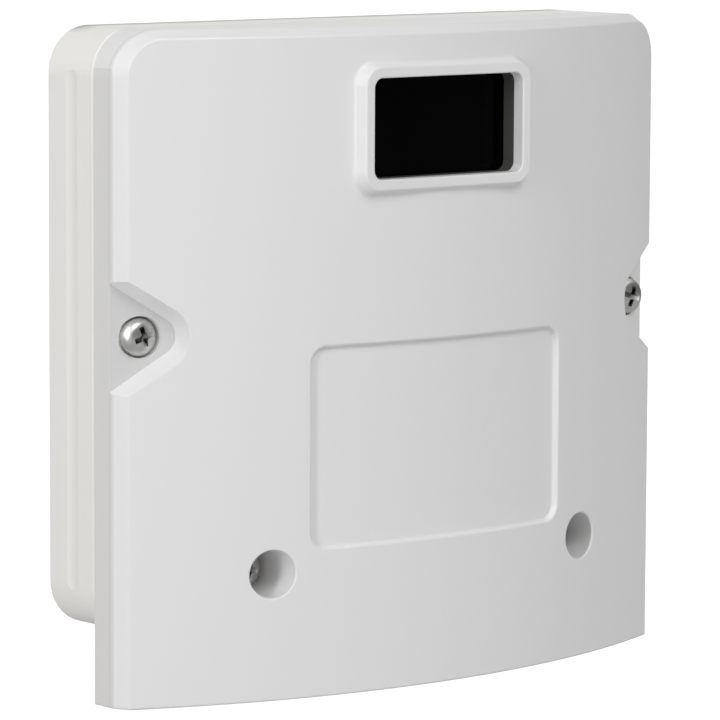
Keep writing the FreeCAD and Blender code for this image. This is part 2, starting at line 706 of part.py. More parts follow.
def softened_cover(cover):
    """Round the window rim, the label field, the mouths of the wells and the skirt's lower corners."""

    def in_field(edge, left, right, low, high):
        middle = middle_of(edge)
        return left - 0.01 < middle.x < right + 0.01 and low - 0.01 < middle.z < high + 0.01

    def at_depth(edge, depth):
        middle = middle_of(edge)
        return abs(middle.y - face_y(middle.x, depth)) < 0.02

    def at_rim(edge):
        return abs(edge.BoundBox.YMin - RIM_PLANE) < 1e-4 and abs(edge.BoundBox.YMax - RIM_PLANE) < 1e-4

    def in_window(edge):
        return in_field(edge, WINDOW_LEFT, WINDOW_RIGHT, WINDOW_LOW, WINDOW_HIGH)

    cover = cover.makeFillet(RIM_OUTER_ROUND, edges_where(cover, lambda e: at_rim(e) and not in_window(e)))
    cover = cover.makeFillet(RIM_INNER_ROUND, edges_where(cover, lambda e: at_rim(e) and in_window(e)))
    spread = RIM_LAND + RIM_DRAFT * abs(RIM_PLANE - face_y(WINDOW_LEFT)) + RIM_OUTER_ROUND
    cover = cover.makeFillet(RIM_FOOT_ROUND, edges_where(
        cover, lambda e: at_depth(e, 0) and in_field(
            e, WINDOW_LEFT - spread, WINDOW_RIGHT + spread, WINDOW_LOW - spread, WINDOW_HIGH + spread
        )
    ))
    low = BODY_BOTTOM + LABEL_RISE
    high = low + LABEL_HEIGHT
    for depth, radius in ((0, LABEL_MOUTH_ROUND), (LABEL_DEPTH, LABEL_FLOOR_ROUND)):
        cover = cover.makeFillet(radius, edges_where(
            cover, lambda e: at_depth(e, depth) and in_field(e, -LABEL_WIDTH / 2, LABEL_WIDTH / 2, low, high)
        ))

    def at_well(edge):
        whole_round = abs(edge.Length - 2 * math.pi * WELL_RADIUS) < 0.5
        return whole_round and edge.BoundBox.YMax < face_y(LOWER_SCREW_X + WELL_RADIUS) + 0.1

    cover = cover.makeFillet(WELL_ROUND, edges_where(cover, at_well))

    def at_notch_lip(edge):
        middle = middle_of(edge)
        on_side = abs(abs(middle.x) - HALF_WIDTH) < 1e-3
        at_floor = abs(edge.BoundBox.YMin - notch_floor_edge()) < 1e-3 and edge.BoundBox.YLength < 1e-3
        return on_side and at_floor

    cover = cover.makeFillet(NOTCH_LIP_ROUND, edges_where(cover, at_notch_lip))

    def at_foot(edge):
        middle = middle_of(edge)
        return abs(abs(middle.x) - HALF_WIDTH) < 1e-3 and abs(middle.z - COVER_BOTTOM) < 1e-3

    return cover.makeFillet(SKIRT_ROUND, edges_where(cover, at_foot))


def locating_lip():
    """Thin rib inside the cover's edge that drops into the mouth of the body."""
    grow = WALL + LIP_CLEARANCE
    radius = CORNER_RADIUS - grow
    y0, y1 = SEAM - 2 * WALL, SEAM + LIP_HEIGHT
    outer = rounded_prism(
        -HALF_WIDTH + grow, HALF_WIDTH - grow, BODY_BOTTOM + grow, TOP - grow, radius, radius, SEAM - WALL, y1
    )
    foot = rounded_prism(
        -HALF_WIDTH + WALL / 2, HALF_WIDTH - WALL / 2, BODY_BOTTOM + WALL / 2, TOP - WALL / 2,
        radius, radius, SEAM - WALL, SEAM,
    )
    within = grow + LIP_THICKNESS
    inner = rounded_prism(
        -HALF_WIDTH + within, HALF_WIDTH - within, BODY_BOTTOM + within, TOP - within,
        radius - LIP_THICKNESS, radius - LIP_THICKNESS, y0, y1 + 1,
    )
    ring = joined([outer, foot]).cut(inner)
    room = BOSS_RADIUS + 2 * LIP_CLEARANCE
    gaps = [box(-HALF_WIDTH, HALF_WIDTH, SEAM - 2 * WALL, y1 + 1, BODY_BOTTOM, LOWER_SCREW_Z + room)]
    gaps.append(box(
        -HALF_WIDTH, HALF_WIDTH, SEAM - 2 * WALL, y1 + 1, SIDE_SCREW_Z - room, SIDE_SCREW_Z + room
    ))
    return ring.cut(gaps)


def ear_reach():
    """How far the lens ears stand out from the sides of the window."""
    return LENS_RIM + LENS_EAR_LENGTH


def stake_places():
    reach = LENS_RIM + LENS_EAR_LENGTH / 2
    return [WINDOW_LEFT - reach, WINDOW_RIGHT + reach]


def ear_front():
    """Front of the lens ears, just clear of the cover's inner face."""
    furthest = max(abs(WINDOW_LEFT - ear_reach()), abs(WINDOW_RIGHT + ear_reach()))
    return face_y(furthest, WALL) + LENS_CLEARANCE


def stake_top():
    return ear_front() + STAKE_LENGTH


def window_lens():
    """Smoked tray that fills the window from behind, held by an ear on each side."""
    outer = rounded_prism(
        WINDOW_LEFT - LENS_RIM, WINDOW_RIGHT + LENS_RIM, WINDOW_LOW - LENS_RIM, WINDOW_HIGH + LENS_RIM,
        WINDOW_CORNER, WINDOW_CORNER, LENS_SEAT, LENS_BACK,
    )
    hollow = rounded_prism(
        WINDOW_LEFT, WINDOW_RIGHT, WINDOW_LOW, WINDOW_HIGH,
        WINDOW_CORNER, WINDOW_CORNER, LENS_SEAT - 1, LENS_SEAT + LENS_DEPTH,
    )
    half = LENS_EAR_HEIGHT / 2
    ears = [
        rounded_prism(
            x0, x1, WINDOW_MIDDLE - half, WINDOW_MIDDLE + half, half / 3, half / 3, ear_front(), LENS_BACK
        )
        for x0, x1 in ((WINDOW_LEFT - ear_reach(), WINDOW_LEFT), (WINDOW_RIGHT, WINDOW_RIGHT + ear_reach()))
    ]
    holes = [
        round_bar(x, WINDOW_MIDDLE, STAKE_RADIUS + LENS_CLEARANCE, ear_front() - 1, LENS_BACK + 1)
        for x in stake_places()
    ]
    return joined([outer] + ears).cut([hollow] + holes)


# Screws


def pan_head_profile(radius, height):
    """Half outline of a pan head from the seat up: a short straight rim, a round shoulder and a low dome."""
    shoulder = height * 0.31
    crown = radius * 0.62
    crown_height = height * 0.9
    mid_x = radius - (radius - crown) * 0.28
    mid_y = shoulder + (crown_height - shoulder) * 0.68
    return [
        ("line", (radius, 0), (radius, shoulder)),
        ("arc", (radius, shoulder), (mid_x, mid_y), (crown, crown_height)),
        ("arc", (crown, crown_height), (crown / 2, height * 0.975), (0, height)),
    ]


def turned(profile, x, z, seat):
    """Solid of revolution about a line along Y; heights count from the seat towards the front."""
    edges = []
    for kind, *ends in profile:
        places = [point(x + r, seat - h, z) for r, h in ends]
        edges.append(Part.makeLine(*places) if kind == "line" else Part.Arc(*places).toShape())
    face = Part.Face(Part.Wire(edges))
    return face.revolve(point(x, seat, z), point(0, 1, 0), 360)


def cross_recess(x, z, top, span, slot, depth, turn):
    """Tapering cross-shaped socket sunk into a head."""
    arms = []
    for angle in (turn, turn + 90):
        arm = box(x - span / 2, x + span / 2, top, top + depth, z - slot / 2, z + slot / 2)
        arm.rotate(point(x, top, z), point(0, 1, 0), angle)
        arms.append(arm)
    core = round_bar(x, z, slot * 0.9, top, top + depth)
    funnel = Part.makeCone(span / 2, slot * 0.7, depth, point(x, top, z), point(0, 1, 0))
    return joined(arms + [core]).common(funnel)


def threaded_shank(x, z, seat, core, crest, length, pitch):
    """Profile of a shank with ring-shaped crests and a pointed end, as heights below the seat."""
    tip = crest * 1.2
    profile = []
    depth = pitch
    last = (core, 0.0)
    while depth + pitch < length - tip:
        for place in ((core, -depth + pitch * 0.25), (crest, -depth), (core, -depth - pitch * 0.25)):
            profile.append(("line", last, place))
            last = place
        depth += pitch
    profile.append(("line", last, (core, -length + tip)))
    profile.append(("line", (core, -length + tip), (0.0, -length)))
    profile.append(("line", (0.0, -length), (0.0, 0.0)))
    profile.append(("line", (0.0, 0.0), (core, 0.0)))
    return turned(profile, x, z, seat)


def cover_screw(x, z, seat, turn):
    head = pan_head_profile(SCREW_HEAD_RADIUS, SCREW_HEAD_HEIGHT)
    head.append(("line", (0, SCREW_HEAD_HEIGHT), (0, 0)))
    head.append(("line", (0, 0), (SCREW_HEAD_RADIUS, 0)))
    shank = threaded_shank(x, z, seat, SCREW_CORE_RADIUS, SCREW_RADIUS, SCREW_LENGTH, SCREW_PITCH)
    whole = joined([turned(head, x, z, seat), shank])
    top = seat - SCREW_HEAD_HEIGHT
    return whole.cut(cross_recess(x, z, top, RECESS_SPAN, RECESS_SLOT, RECESS_DEPTH, turn))


def board_screws():
    """Four identical screws that hold the board, each turned a little further round than the last."""
    head = pan_head_profile(BOARD_SCREW_HEAD_RADIUS, BOARD_SCREW_HEAD_HEIGHT)
    head.append(("line", (0, BOARD_SCREW_HEAD_HEIGHT), (0, 0)))
    head.append(("line", (0, 0), (BOARD_SCREW_HEAD_RADIUS, 0)))
    shank = round_bar(0, 0, BOARD_SCREW_RADIUS, BOARD_FRONT, BOARD_FRONT + BOARD_SCREW_LENGTH)
    top = BOARD_FRONT - BOARD_SCREW_HEAD_HEIGHT
    scale = BOARD_SCREW_HEAD_RADIUS / SCREW_HEAD_RADIUS
    socket = cross_recess(
        0, 0, top, RECESS_SPAN * scale, RECESS_SLOT * scale, BOARD_SCREW_HEAD_HEIGHT * 0.6, 0
    )
    screw = joined([turned(head, 0, 0, BOARD_FRONT), shank]).cut(socket)
    screws = []
    for index, (x, z) in enumerate(board_screw_places()):
        placed = screw.copy()
        placed.rotate(point(0, BOARD_FRONT, 0), point(0, 1, 0), BOARD_SCREW_TURN * index)
        placed.translate(point(x, 0, z))
        screws.append(placed)
    return Part.Compound(screws)


# Leads: every wire that passes through the board, kept by piece so that the board is drilled to match


def leads_of():
    """Piece name to its leads, each as X, Z and radius."""
    found = {}
    for name, (x, z) in relay_places().items():
        found[name] = [(x + dx, z + dz, RELAY_PIN_RADIUS) for dx, dz in RELAY_PINS]
    contact_z = terminal_back() - CONTACT_LEG_INSET
    found["terminal_contacts"] = [(x, contact_z, CONTACT_PIN_RADIUS) for x in terminal_xs()]
    for name, (x, z, count) in chip_places().items():
        start = x - (count / 2 - 1) * HEADER_PITCH / 2
        columns = [start + i * HEADER_PITCH for i in range(count // 2)]
        found[name] = [(px, z + side * CHIP_ROW / 2, CHIP_LEG_HOLE) for px in columns for side in (-1, 1)]
    x, z = crystal_place()
    found["crystal"] = [(x + side * CRYSTAL_LEAD / 2, z, CRYSTAL_LEAD_RADIUS) for side in (-1, 1)]
    found["radio_pins"] = [(x, z, HEADER_PIN * PIN_HOLE_FACTOR) for x, z in radio_pin_places()]
    x, z = button_place()
    found["learn_button_base"] = [
        (x + sx * BUTTON_LEG_X, z + sz * BUTTON_LEG_Z, BUTTON_LEG_RADIUS) for sx in (-1, 1) for sz in (-1, 1)
    ]
    found["jumper_pins"] = [(x, z, HEADER_PIN * PIN_HOLE_FACTOR) for x, z in jumper_pin_places()]
    for name, (x, z) in led_places().items():
        found[name] = [(x + side * HEADER_PITCH / 2, z, LED_LEG_RADIUS) for side in (-1, 1)]
    x, z = regulator_place()
    found["voltage_regulator"] = [(x + side * HEADER_PITCH, z, REGULATOR_LEG_RADIUS) for side in (-1, 0, 1)]
    for name, (x, z, radius, height) in capacitor_places().items():
        found[name] = [(x + side * radius / 2, z, CAPACITOR_LEG_RADIUS) for side in (-1, 1)]
    found["rectifier_diodes"] = [
        (x, z + side * DIODE_SPAN / 2, DIODE_LEAD) for x, z in diode_places() for side in (-1, 1)
    ]
    x, z = varistor_place()
    found["surge_varistor"] = [(x + side * VARISTOR_SPAN / 2, z, VARISTOR_LEAD) for side in (-1, 1)]
    found["driver_transistors"] = [
        (x + side * HEADER_PITCH / 2, z, TRANSISTOR_LEG_RADIUS)
        for x, z in transistor_places()
        for side in (-1, 0, 1)
    ]
    found["resistors"] = [
        (x + side * RESISTOR_SPAN / 2, z, RESISTOR_LEAD) for x, z in resistor_places() for side in (-1, 1)
    ]
    return found


def legs(name):
    """The straight legs of a piece, from the board's front to a little behind its back."""
    return [round_bar(x, z, r, BOARD_FRONT, BOARD_BACK + LEAD_OUT) for x, z, r in leads_of()[name]]


def circuit_board():
    plate = rounded_prism(
        BOARD_LEFT, BOARD_RIGHT, BOARD_LOW, BOARD_HIGH, 1.5, 1.5, BOARD_BACK, BOARD_FRONT
    )
    holes = []
    for x, z in board_screw_places():
        holes.append(round_bar(x, z, BOARD_SCREW_HOLE, BOARD_FRONT - 1, BOARD_BACK + 1))
    for places in leads_of().values():
        for x, z, radius in places:
            holes.append(round_bar(x, z, radius + LEAD_CLEARANCE, BOARD_FRONT - 1, BOARD_BACK + 1))
    return plate.cut(Part.Compound(holes))


# Terminal block, its contacts, screws and rising clamps


def terminal_xs():
    first = -(TERMINAL_COUNT - 1) * TERMINAL_PITCH / 2
    return [first + index * TERMINAL_PITCH for index in range(TERMINAL_COUNT)]


def terminal_front():
    return BOARD_LOW + TERMINAL_EDGE_GAP


def terminal_back():
    return terminal_front() + TERMINAL_DEPTH


def clamp_heights():
    """Heights above the board of the open clamp, its contact bar, the room it needs and the screw seat."""
    bottom = CLAMP_FOOT
    window_low = bottom + CLAMP_FLOOR
    window_high = window_low + CLAMP_WINDOW
    top = window_high + CLAMP_TOP
    bar_high = window_high - CLAMP_CLEARANCE
    bar_low = bar_high - CONTACT_THICKNESS
    ceiling = top + CLAMP_TRAVEL + CLAMP_CLEARANCE * 2
    seat = ceiling + CLAMP_TOP * 0.7
    return bottom, window_low, window_high, top, bar_low, bar_high, ceiling, seat


def terminal_block():
    half = TERMINAL_COUNT * TERMINAL_PITCH / 2
    front, back = terminal_front(), terminal_back()
    bottom, window_low, window_high, top, bar_low, bar_high, ceiling, seat = clamp_heights()
    body = box(-half, half, above_board(TERMINAL_HEIGHT), BOARD_FRONT, front, back)
    slope = TERMINAL_DEPTH * 0.16
    wedge = Part.Face(Part.makePolygon([
        point(-half, above_board(TERMINAL_HEIGHT), back),
        point(-half, above_board(TERMINAL_HEIGHT), back - slope),
        point(-half, above_board(TERMINAL_HEIGHT - 2 * slope), back),
        point(-half, above_board(TERMINAL_HEIGHT), back),
    ])).extrude(point(2 * half, 0, 0))
    removed = [wedge]
    centre = front + CLAMP_CENTRE_INSET
    room = CLAMP_WIDTH / 2 + CLAMP_CLEARANCE
    for x in terminal_xs():
        removed.append(box(
            x - room, x + room, above_board(ceiling), above_board(bottom - CLAMP_CLEARANCE),
            front - 1, centre + CLAMP_LENGTH / 2 + CLAMP_CLEARANCE,
        ))
        removed.append(round_bar(
            x, centre, CLAMP_SCREW_RADIUS + CLAMP_CLEARANCE, above_board(seat), above_board(top)
        ))
        removed.append(round_bar(
            x, centre, CLAMP_SCREW_HEAD_RADIUS + CLAMP_CLEARANCE,
            above_board(TERMINAL_HEIGHT + 1), above_board(seat),
        ))
        removed.append(contact_bar(x, THREAD_CLEARANCE))
    return body.cut(removed)


def contact_bar(x, margin):
    """L-shaped contact: a bar through the clamp and a leg down to the board."""
    heights = clamp_heights()
    bar_low, bar_high = heights[4], heights[5]
    half = CONTACT_WIDTH / 2 + margin
    leg_z = terminal_back() - CONTACT_LEG_INSET
    start = terminal_front() + CLAMP_CENTRE_INSET - CLAMP_LENGTH / 2 - CLAMP_CLEARANCE * 2
    bar = box(
        x - half, x + half, above_board(bar_high + margin), above_board(bar_low - margin),
        start, leg_z + CONTACT_THICKNESS / 2 + margin,
    )
    leg = box(
        x - half, x + half, above_board(bar_low), BOARD_FRONT,
        leg_z - CONTACT_THICKNESS / 2 - margin, leg_z + CONTACT_THICKNESS / 2 + margin,
    )
    return joined([bar, leg])


def terminal_contacts():
    pins = legs("terminal_contacts")
    return Part.Compound([joined([contact_bar(x, 0), pin]) for x, pin in zip(terminal_xs(), pins)])


def terminal_clamp(x):
    """Square brass cage that rises round the contact bar and pinches the wire."""
    bottom, window_low, window_high, top = clamp_heights()[:4]
    centre = terminal_front() + CLAMP_CENTRE_INSET
    half = CLAMP_WIDTH / 2
    z0, z1 = centre - CLAMP_LENGTH / 2, centre + CLAMP_LENGTH / 2
    cage = box(x - half, x + half, above_board(top), above_board(bottom), z0, z1)
    window = box(
        x - half + CLAMP_WALL, x + half - CLAMP_WALL,
        above_board(window_high), above_board(window_low), z0 - 1, z1 + 1,
    )
    thread = round_bar(
        x, centre, CLAMP_SCREW_RADIUS + THREAD_CLEARANCE, above_board(top + 1), above_board(window_high)
    )
    return cage.cut([window, thread])


def terminal_screw(x, turn):
    heights = clamp_heights()
    bar_high, seat = heights[5], heights[7]
    centre = terminal_front() + CLAMP_CENTRE_INSET
    end = above_board(bar_high + CLAMP_CLEARANCE)
    shank = round_bar(x, centre, CLAMP_SCREW_RADIUS, above_board(seat), end)
    top = above_board(seat + CLAMP_SCREW_HEAD_HEIGHT)
    head = round_bar(x, centre, CLAMP_SCREW_HEAD_RADIUS, top, above_board(seat))
    half = CLAMP_SCREW_SLOT / 2
    slot = box(
        x - 2 * CLAMP_SCREW_HEAD_RADIUS, x + 2 * CLAMP_SCREW_HEAD_RADIUS,
        top - 1, top + CLAMP_SCREW_HEAD_HEIGHT * 0.55, centre - half, centre + half,
    )
    slot.rotate(point(x, top, centre), point(0, 1, 0), turn)
    return joined([shank, head]).cut(slot)


# Relays


def relay_places():
    x = (RELAY_WIDTH + RELAY_GAP) / 2
    z = terminal_back() + RELAY_TERMINAL_GAP + RELAY_LENGTH / 2
    return {"relay_left": (-x, z), "relay_right": (x, z)}


def relay(name):
    x, z = relay_places()[name]
    case = box(
        x - RELAY_WIDTH / 2, x + RELAY_WIDTH / 2, above_board(RELAY_HEIGHT), above_board(RELAY_EDGE / 2),
        z - RELAY_LENGTH / 2, z + RELAY_LENGTH / 2,
    )
    front = above_board(RELAY_HEIGHT)
    case = case.makeFillet(RELAY_EDGE, edges_where(case, lambda e: e.BoundBox.YMin < front + 1e-3))
    feet = [
        box(
            x + sx * RELAY_WIDTH * 0.4 - 1, x + sx * RELAY_WIDTH * 0.4 + 1,
            above_board(RELAY_EDGE), BOARD_FRONT,
            z + sz * RELAY_LENGTH * 0.15 - 1, z + sz * RELAY_LENGTH * 0.15 + 1,
        )
        for sx in (-1, 1) for sz in (-1, 1)
    ]
    pins = [
        round_bar(px, pz, r, above_board(RELAY_EDGE), BOARD_BACK + LEAD_OUT) for px, pz, r in leads_of()[name]
    ]
    return joined([case] + feet + pins)


# Chips in two-row packages and the crystal


def chip_places():
    """Name to X, Z and number of legs."""
    z = (relay_places()["relay_left"][1] + RELAY_LENGTH / 2 + WINDOW_LOW) / 2 + CHIP_SHIFT
    return {
        "microcontroller": (MICROCONTROLLER_X, z, MICROCONTROLLER_LEG_COUNT),
        "memory_chip": (MEMORY_CHIP_X, z, MEMORY_CHIP_LEG_COUNT),
    }


def chip(name):
    x, z, count = chip_places()[name]
    half_length = (count / 2) * HEADER_PITCH / 2 - CHIP_END_GAP
    low = CHIP_RAISE
    body = box(
        x - half_length, x + half_length, above_board(low + CHIP_THICKNESS), above_board(low),
        z - CHIP_WIDTH / 2, z + CHIP_WIDTH / 2,
    )
    front = above_board(low + CHIP_THICKNESS)
    body = body.makeChamfer(CHIP_RAISE / 2, edges_where(body, lambda e: e.BoundBox.YMax < front + 1e-3))
    notch = round_bar(
        x - half_length, z, CHIP_NOTCH_RADIUS,
        above_board(low + CHIP_THICKNESS + 1), above_board(low + CHIP_THICKNESS / 2),
    )
    parts = [body.cut(notch)]
    middle = low + CHIP_THICKNESS / 2
    for px, pz, r in leads_of()[name]:
        side = 1 if pz > z else -1
        shoulder = sorted((z + side * (CHIP_WIDTH / 2 - 0.3), pz + side * CHIP_LEG_THICKNESS / 2))
        parts.append(box(
            px - CHIP_LEG * 1.3, px + CHIP_LEG * 1.3, above_board(middle + CHIP_LEG_THICKNESS),
            above_board(middle), shoulder[0], shoulder[1],
        ))
        parts.append(box(
            px - CHIP_LEG * 1.3, px + CHIP_LEG * 1.3, above_board(middle), BOARD_FRONT,
            pz - CHIP_LEG_THICKNESS / 2, pz + CHIP_LEG_THICKNESS / 2,
        ))
        parts.append(box(
            px - CHIP_LEG / 2, px + CHIP_LEG / 2, BOARD_FRONT, BOARD_BACK + LEAD_OUT,
            pz - CHIP_LEG_THICKNESS / 2, pz + CHIP_LEG_THICKNESS / 2,
        ))
    return joined(parts)


def crystal_place():
    x, z, count = chip_places()["microcontroller"]
    return x, z + CHIP_ROW / 2 + CRYSTAL_GAP + CRYSTAL_WIDTH / 2


def crystal():
    """Low metal can with round ends on a thin base flange."""
    x, z = crystal_place()

    def oval(length, width, low, high):
        half = length / 2 - width / 2
        y0, y1 = above_board(high), above_board(low)
        middle = box(x - half, x + half, y0, y1, z - width / 2, z + width / 2)
        ends = [round_bar(x + side * half, z, width / 2, y0, y1) for side in (-1, 1)]
        return joined([middle] + ends)

    can = oval(
        CRYSTAL_LENGTH - 2 * CRYSTAL_FLANGE, CRYSTAL_WIDTH - 2 * CRYSTAL_FLANGE,
        CRYSTAL_FLANGE_HEIGHT, CRYSTAL_HEIGHT,
    )
    flange = oval(CRYSTAL_LENGTH, CRYSTAL_WIDTH, 0, CRYSTAL_FLANGE_HEIGHT)
    return joined([can, flange] + legs("crystal"))


# Radio module with its header and coil antenna


def radio_edges():
    """Left, right, low and high edges of the radio board."""
    right = BOARD_RIGHT - RADIO_INSET_X
    high = BOARD_HIGH - RADIO_TOP_INSET
    return right - RADIO_WIDTH, right, high - RADIO_HEIGHT, high


def radio_pin_places():
    left, right, low, high = radio_edges()
    start = (low + high) / 2 - (RADIO_PIN_COUNT - 1) * HEADER_PITCH / 2
    return [(left + RADIO_PIN_INSET, start + index * HEADER_PITCH) for index in range(RADIO_PIN_COUNT)]


def coil_ends():
    """X of the coil's axis and Z of its two ends."""
    left, right, low, high = radio_edges()
    x = (right + BOARD_RIGHT) / 2
    length = COIL_TURNS * COIL_PITCH
    middle = (low + high) / 2
    return x, middle - length / 2, middle + length / 2


def radio_board():
    left, right, low, high = radio_edges()
    back = above_board(RADIO_RAISE)
    plate = box(left, right, back - RADIO_THICKNESS, back, low, high)
    holes = [
        round_bar(x, z, HEADER_PIN * PIN_HOLE_FACTOR + LEAD_CLEARANCE, back - RADIO_THICKNESS - 1, back + 1)
        for x, z in radio_pin_places()
    ]
    x, z0, z1 = coil_ends()
    tail_x, tail_z = antenna_foot()
    holes.append(round_bar(tail_x, tail_z, COIL_WIRE + LEAD_CLEARANCE, back - RADIO_THICKNESS - 1, back + 1))
    return plate.cut(holes)


def radio_can():
    """Pressed shield can over the radio's circuit, open towards its board."""
    left, right, low, high = radio_edges()
    back = above_board(RADIO_RAISE) - RADIO_THICKNESS
    x0, x1 = left + CAN_PIN_SIDE_GAP, right - CAN_FAR_SIDE_GAP
    z0, z1 = low + CAN_LOW_GAP, high - CAN_HIGH_GAP
    front = back - RADIO_CAN_HEIGHT
    can = box(x0, x1, front, back, z0, z1)
    can = can.makeFillet(CAN_ROUND, edges_where(can, lambda e: e.BoundBox.YMin < front + 1e-3))
    inside = box(
        x0 + CAN_SHEET, x1 - CAN_SHEET, front + CAN_SHEET, back + 1, z0 + CAN_SHEET, z1 - CAN_SHEET
    )
    return can.cut(inside)


def radio_header():
    places = radio_pin_places()
    x = places[0][0]
    z0, z1 = places[0][1] - HEADER_PITCH / 2, places[-1][1] + HEADER_PITCH / 2
    strip = box(x - STRIP_HALF_WIDTH, x + STRIP_HALF_WIDTH, above_board(RADIO_RAISE), BOARD_FRONT, z0, z1)
    half = HEADER_PIN / 2 + THREAD_CLEARANCE
    holes = [
        box(px - half, px + half, above_board(RADIO_RAISE + 1), BOARD_FRONT + 1, pz - half, pz + half)
        for px, pz in places
    ]
    return strip.cut(holes)


def square_pins(places, height):
    half = HEADER_PIN / 2
    return [
        box(x - half, x + half, above_board(height), BOARD_BACK + LEAD_OUT, z - half, z + half)
        for x, z in places
    ]


def radio_pins():
    return Part.Compound(square_pins(radio_pin_places(), RADIO_RAISE + RADIO_THICKNESS + 1.0))


def antenna_foot():
    """X and Z where the antenna's tail is soldered into the radio board."""
    left, right, low, high = radio_edges()
    return right - ANTENNA_FOOT_INSET, low + ANTENNA_FOOT_RISE


def print_least_gap(turns):
    """Clear space between the turns of the coil, measured on points along its centre line."""
    steps = 12
    places = []
    for half_turn in turns:
        reach = half_turn.LastParameter - half_turn.FirstParameter
        places += [half_turn.valueAt(half_turn.FirstParameter + reach * step / steps) for step in range(steps)]
    apart = [
        places[first].distanceToPoint(places[second])
        for first in range(len(places))
        for second in range(first + 3 * steps // 2, len(places))
    ]
    print("antenna_coil least gap between turns", round(min(apart) - 2 * COIL_WIRE, 2), "mm")


def antenna_coil():
    """Open coil of stiff wire beside the radio board, with one tail bent down into it."""
    x, z0, z1 = coil_ends()
    y = above_board(COIL_RAISE)
    edges = []
    half_pitch = COIL_PITCH / 2
    radius = math.hypot(COIL_RADIUS, half_pitch / 2)
    for index in range(2 * COIL_TURNS):
        side = 1 if index % 2 == 0 else -1
        start = point(x - side * COIL_RADIUS, y, z0 + index * half_pitch)
        end = point(x + side * COIL_RADIUS, y, z0 + (index + 1) * half_pitch)
        middle = point(x, y - side * radius, z0 + (index + 0.5) * half_pitch)
        edges.append(Part.Arc(start, middle, end).toShape())
    print_least_gap(edges)
    start = edges[0].valueAt(edges[0].FirstParameter)
    foot_x, foot_z = antenna_foot()
    lead_y = above_board(RADIO_RAISE) - RADIO_THICKNESS
    bend = 3 * COIL_WIRE
    # The tail leaves the first turn along +Y, turns down along -Z and in along -X, then drops into the board.
    first = point(start.x, start.y + bend, start.z)
    run = Part.Wire([Part.makeLine(first, start)] + edges)
    circle = Part.Wire(Part.makeCircle(COIL_WIRE, first, point(0, -1, 0)))
    turns = run.makePipeShell([circle], True, False)
    elbow_low = Part.makeSphere(COIL_WIRE, point(start.x, first.y, start.z))
    down = bar_along_z(start.x, first.y, COIL_WIRE, foot_z, start.z)
    corner = Part.makeSphere(COIL_WIRE, point(start.x, first.y, foot_z))
    across = bar_along_x(first.y, foot_z, COIL_WIRE, foot_x, start.x)
    knee = Part.makeSphere(COIL_WIRE, point(foot_x, first.y, foot_z))
    drop = round_bar(foot_x, foot_z, COIL_WIRE, first.y, lead_y + RADIO_THICKNESS + 0.6)
    return joined([turns, elbow_low, down, corner, across, knee, drop])


# Learn button


def button_place():
    return BOARD_RIGHT - BUTTON_INSET_X, BOARD_LOW + BUTTON_RISE


def learn_button_base():
    x, z = button_place()
    half = BUTTON_SIZE / 2
    case = box(x - half, x + half, above_board(BUTTON_BASE_HEIGHT), BOARD_FRONT, z - half, z + half)
    flange = BUTTON_RADIUS + BUTTON_FLANGE + 2 * BUTTON_CLEARANCE
    floor = button_low() - BUTTON_TRAVEL - 2 * BUTTON_CLEARANCE
    room = round_bar(x, z, flange, above_board(BUTTON_BASE_HEIGHT - BUTTON_PLATE), above_board(floor))
    mouth = above_board(BUTTON_BASE_HEIGHT + 1)
    bore = round_bar(x, z, BUTTON_RADIUS + BUTTON_CLEARANCE, mouth, above_board(floor))
    feet = []
    for px, pz, r in leads_of()["learn_button_base"]:
        inner = x + (half - 0.5) * (1 if px > x else -1)
        x0, x1 = sorted((inner, px))
        feet.append(box(x0, x1, above_board(0.9), above_board(0.6), pz - r, pz + r))
        feet.append(round_bar(px, pz, r, above_board(0.9), BOARD_BACK + LEAD_OUT))
    return joined([case.cut([room, bore])] + feet)


def button_low():
    """Height of the plunger's underside at rest."""
    return BUTTON_BASE_HEIGHT - BUTTON_PLATE - BUTTON_CLEARANCE - 2 * BUTTON_FLANGE


def learn_button():
    x, z = button_place()
    stem = round_bar(x, z, BUTTON_RADIUS, above_board(BUTTON_TOP), above_board(button_low()))
    tip = edges_where(stem, lambda e: e.BoundBox.YMax < above_board(BUTTON_TOP) + 1e-3)
    stem = stem.makeFillet(0.3, tip)
    low, high = button_low(), button_low() + 2 * BUTTON_FLANGE
    flange = round_bar(x, z, BUTTON_RADIUS + BUTTON_FLANGE, above_board(high), above_board(low))
    return joined([stem, flange])


# Mode jumper


def jumper_pin_places():
    x, z = BOARD_RIGHT - JUMPER_INSET_X, BOARD_LOW + JUMPER_RISE
    start = x - (JUMPER_PIN_COUNT - 1) * HEADER_PITCH / 2
    return [(start + index * HEADER_PITCH, z) for index in range(JUMPER_PIN_COUNT)]


def jumper_header():
    places = jumper_pin_places()
    z = places[0][1]
    x0, x1 = places[0][0] - HEADER_PITCH / 2, places[-1][0] + HEADER_PITCH / 2
    strip = box(x0, x1, above_board(JUMPER_STRIP), BOARD_FRONT, z - STRIP_HALF_WIDTH, z + STRIP_HALF_WIDTH)
    half = HEADER_PIN / 2 + THREAD_CLEARANCE
    holes = [
        box(px - half, px + half, above_board(JUMPER_STRIP + 1), BOARD_FRONT + 1, pz - half, pz + half)
        for px, pz in places
    ]
    return strip.cut(holes)


def jumper_pins():
    return Part.Compound(square_pins(jumper_pin_places(), JUMPER_PIN_TOP))


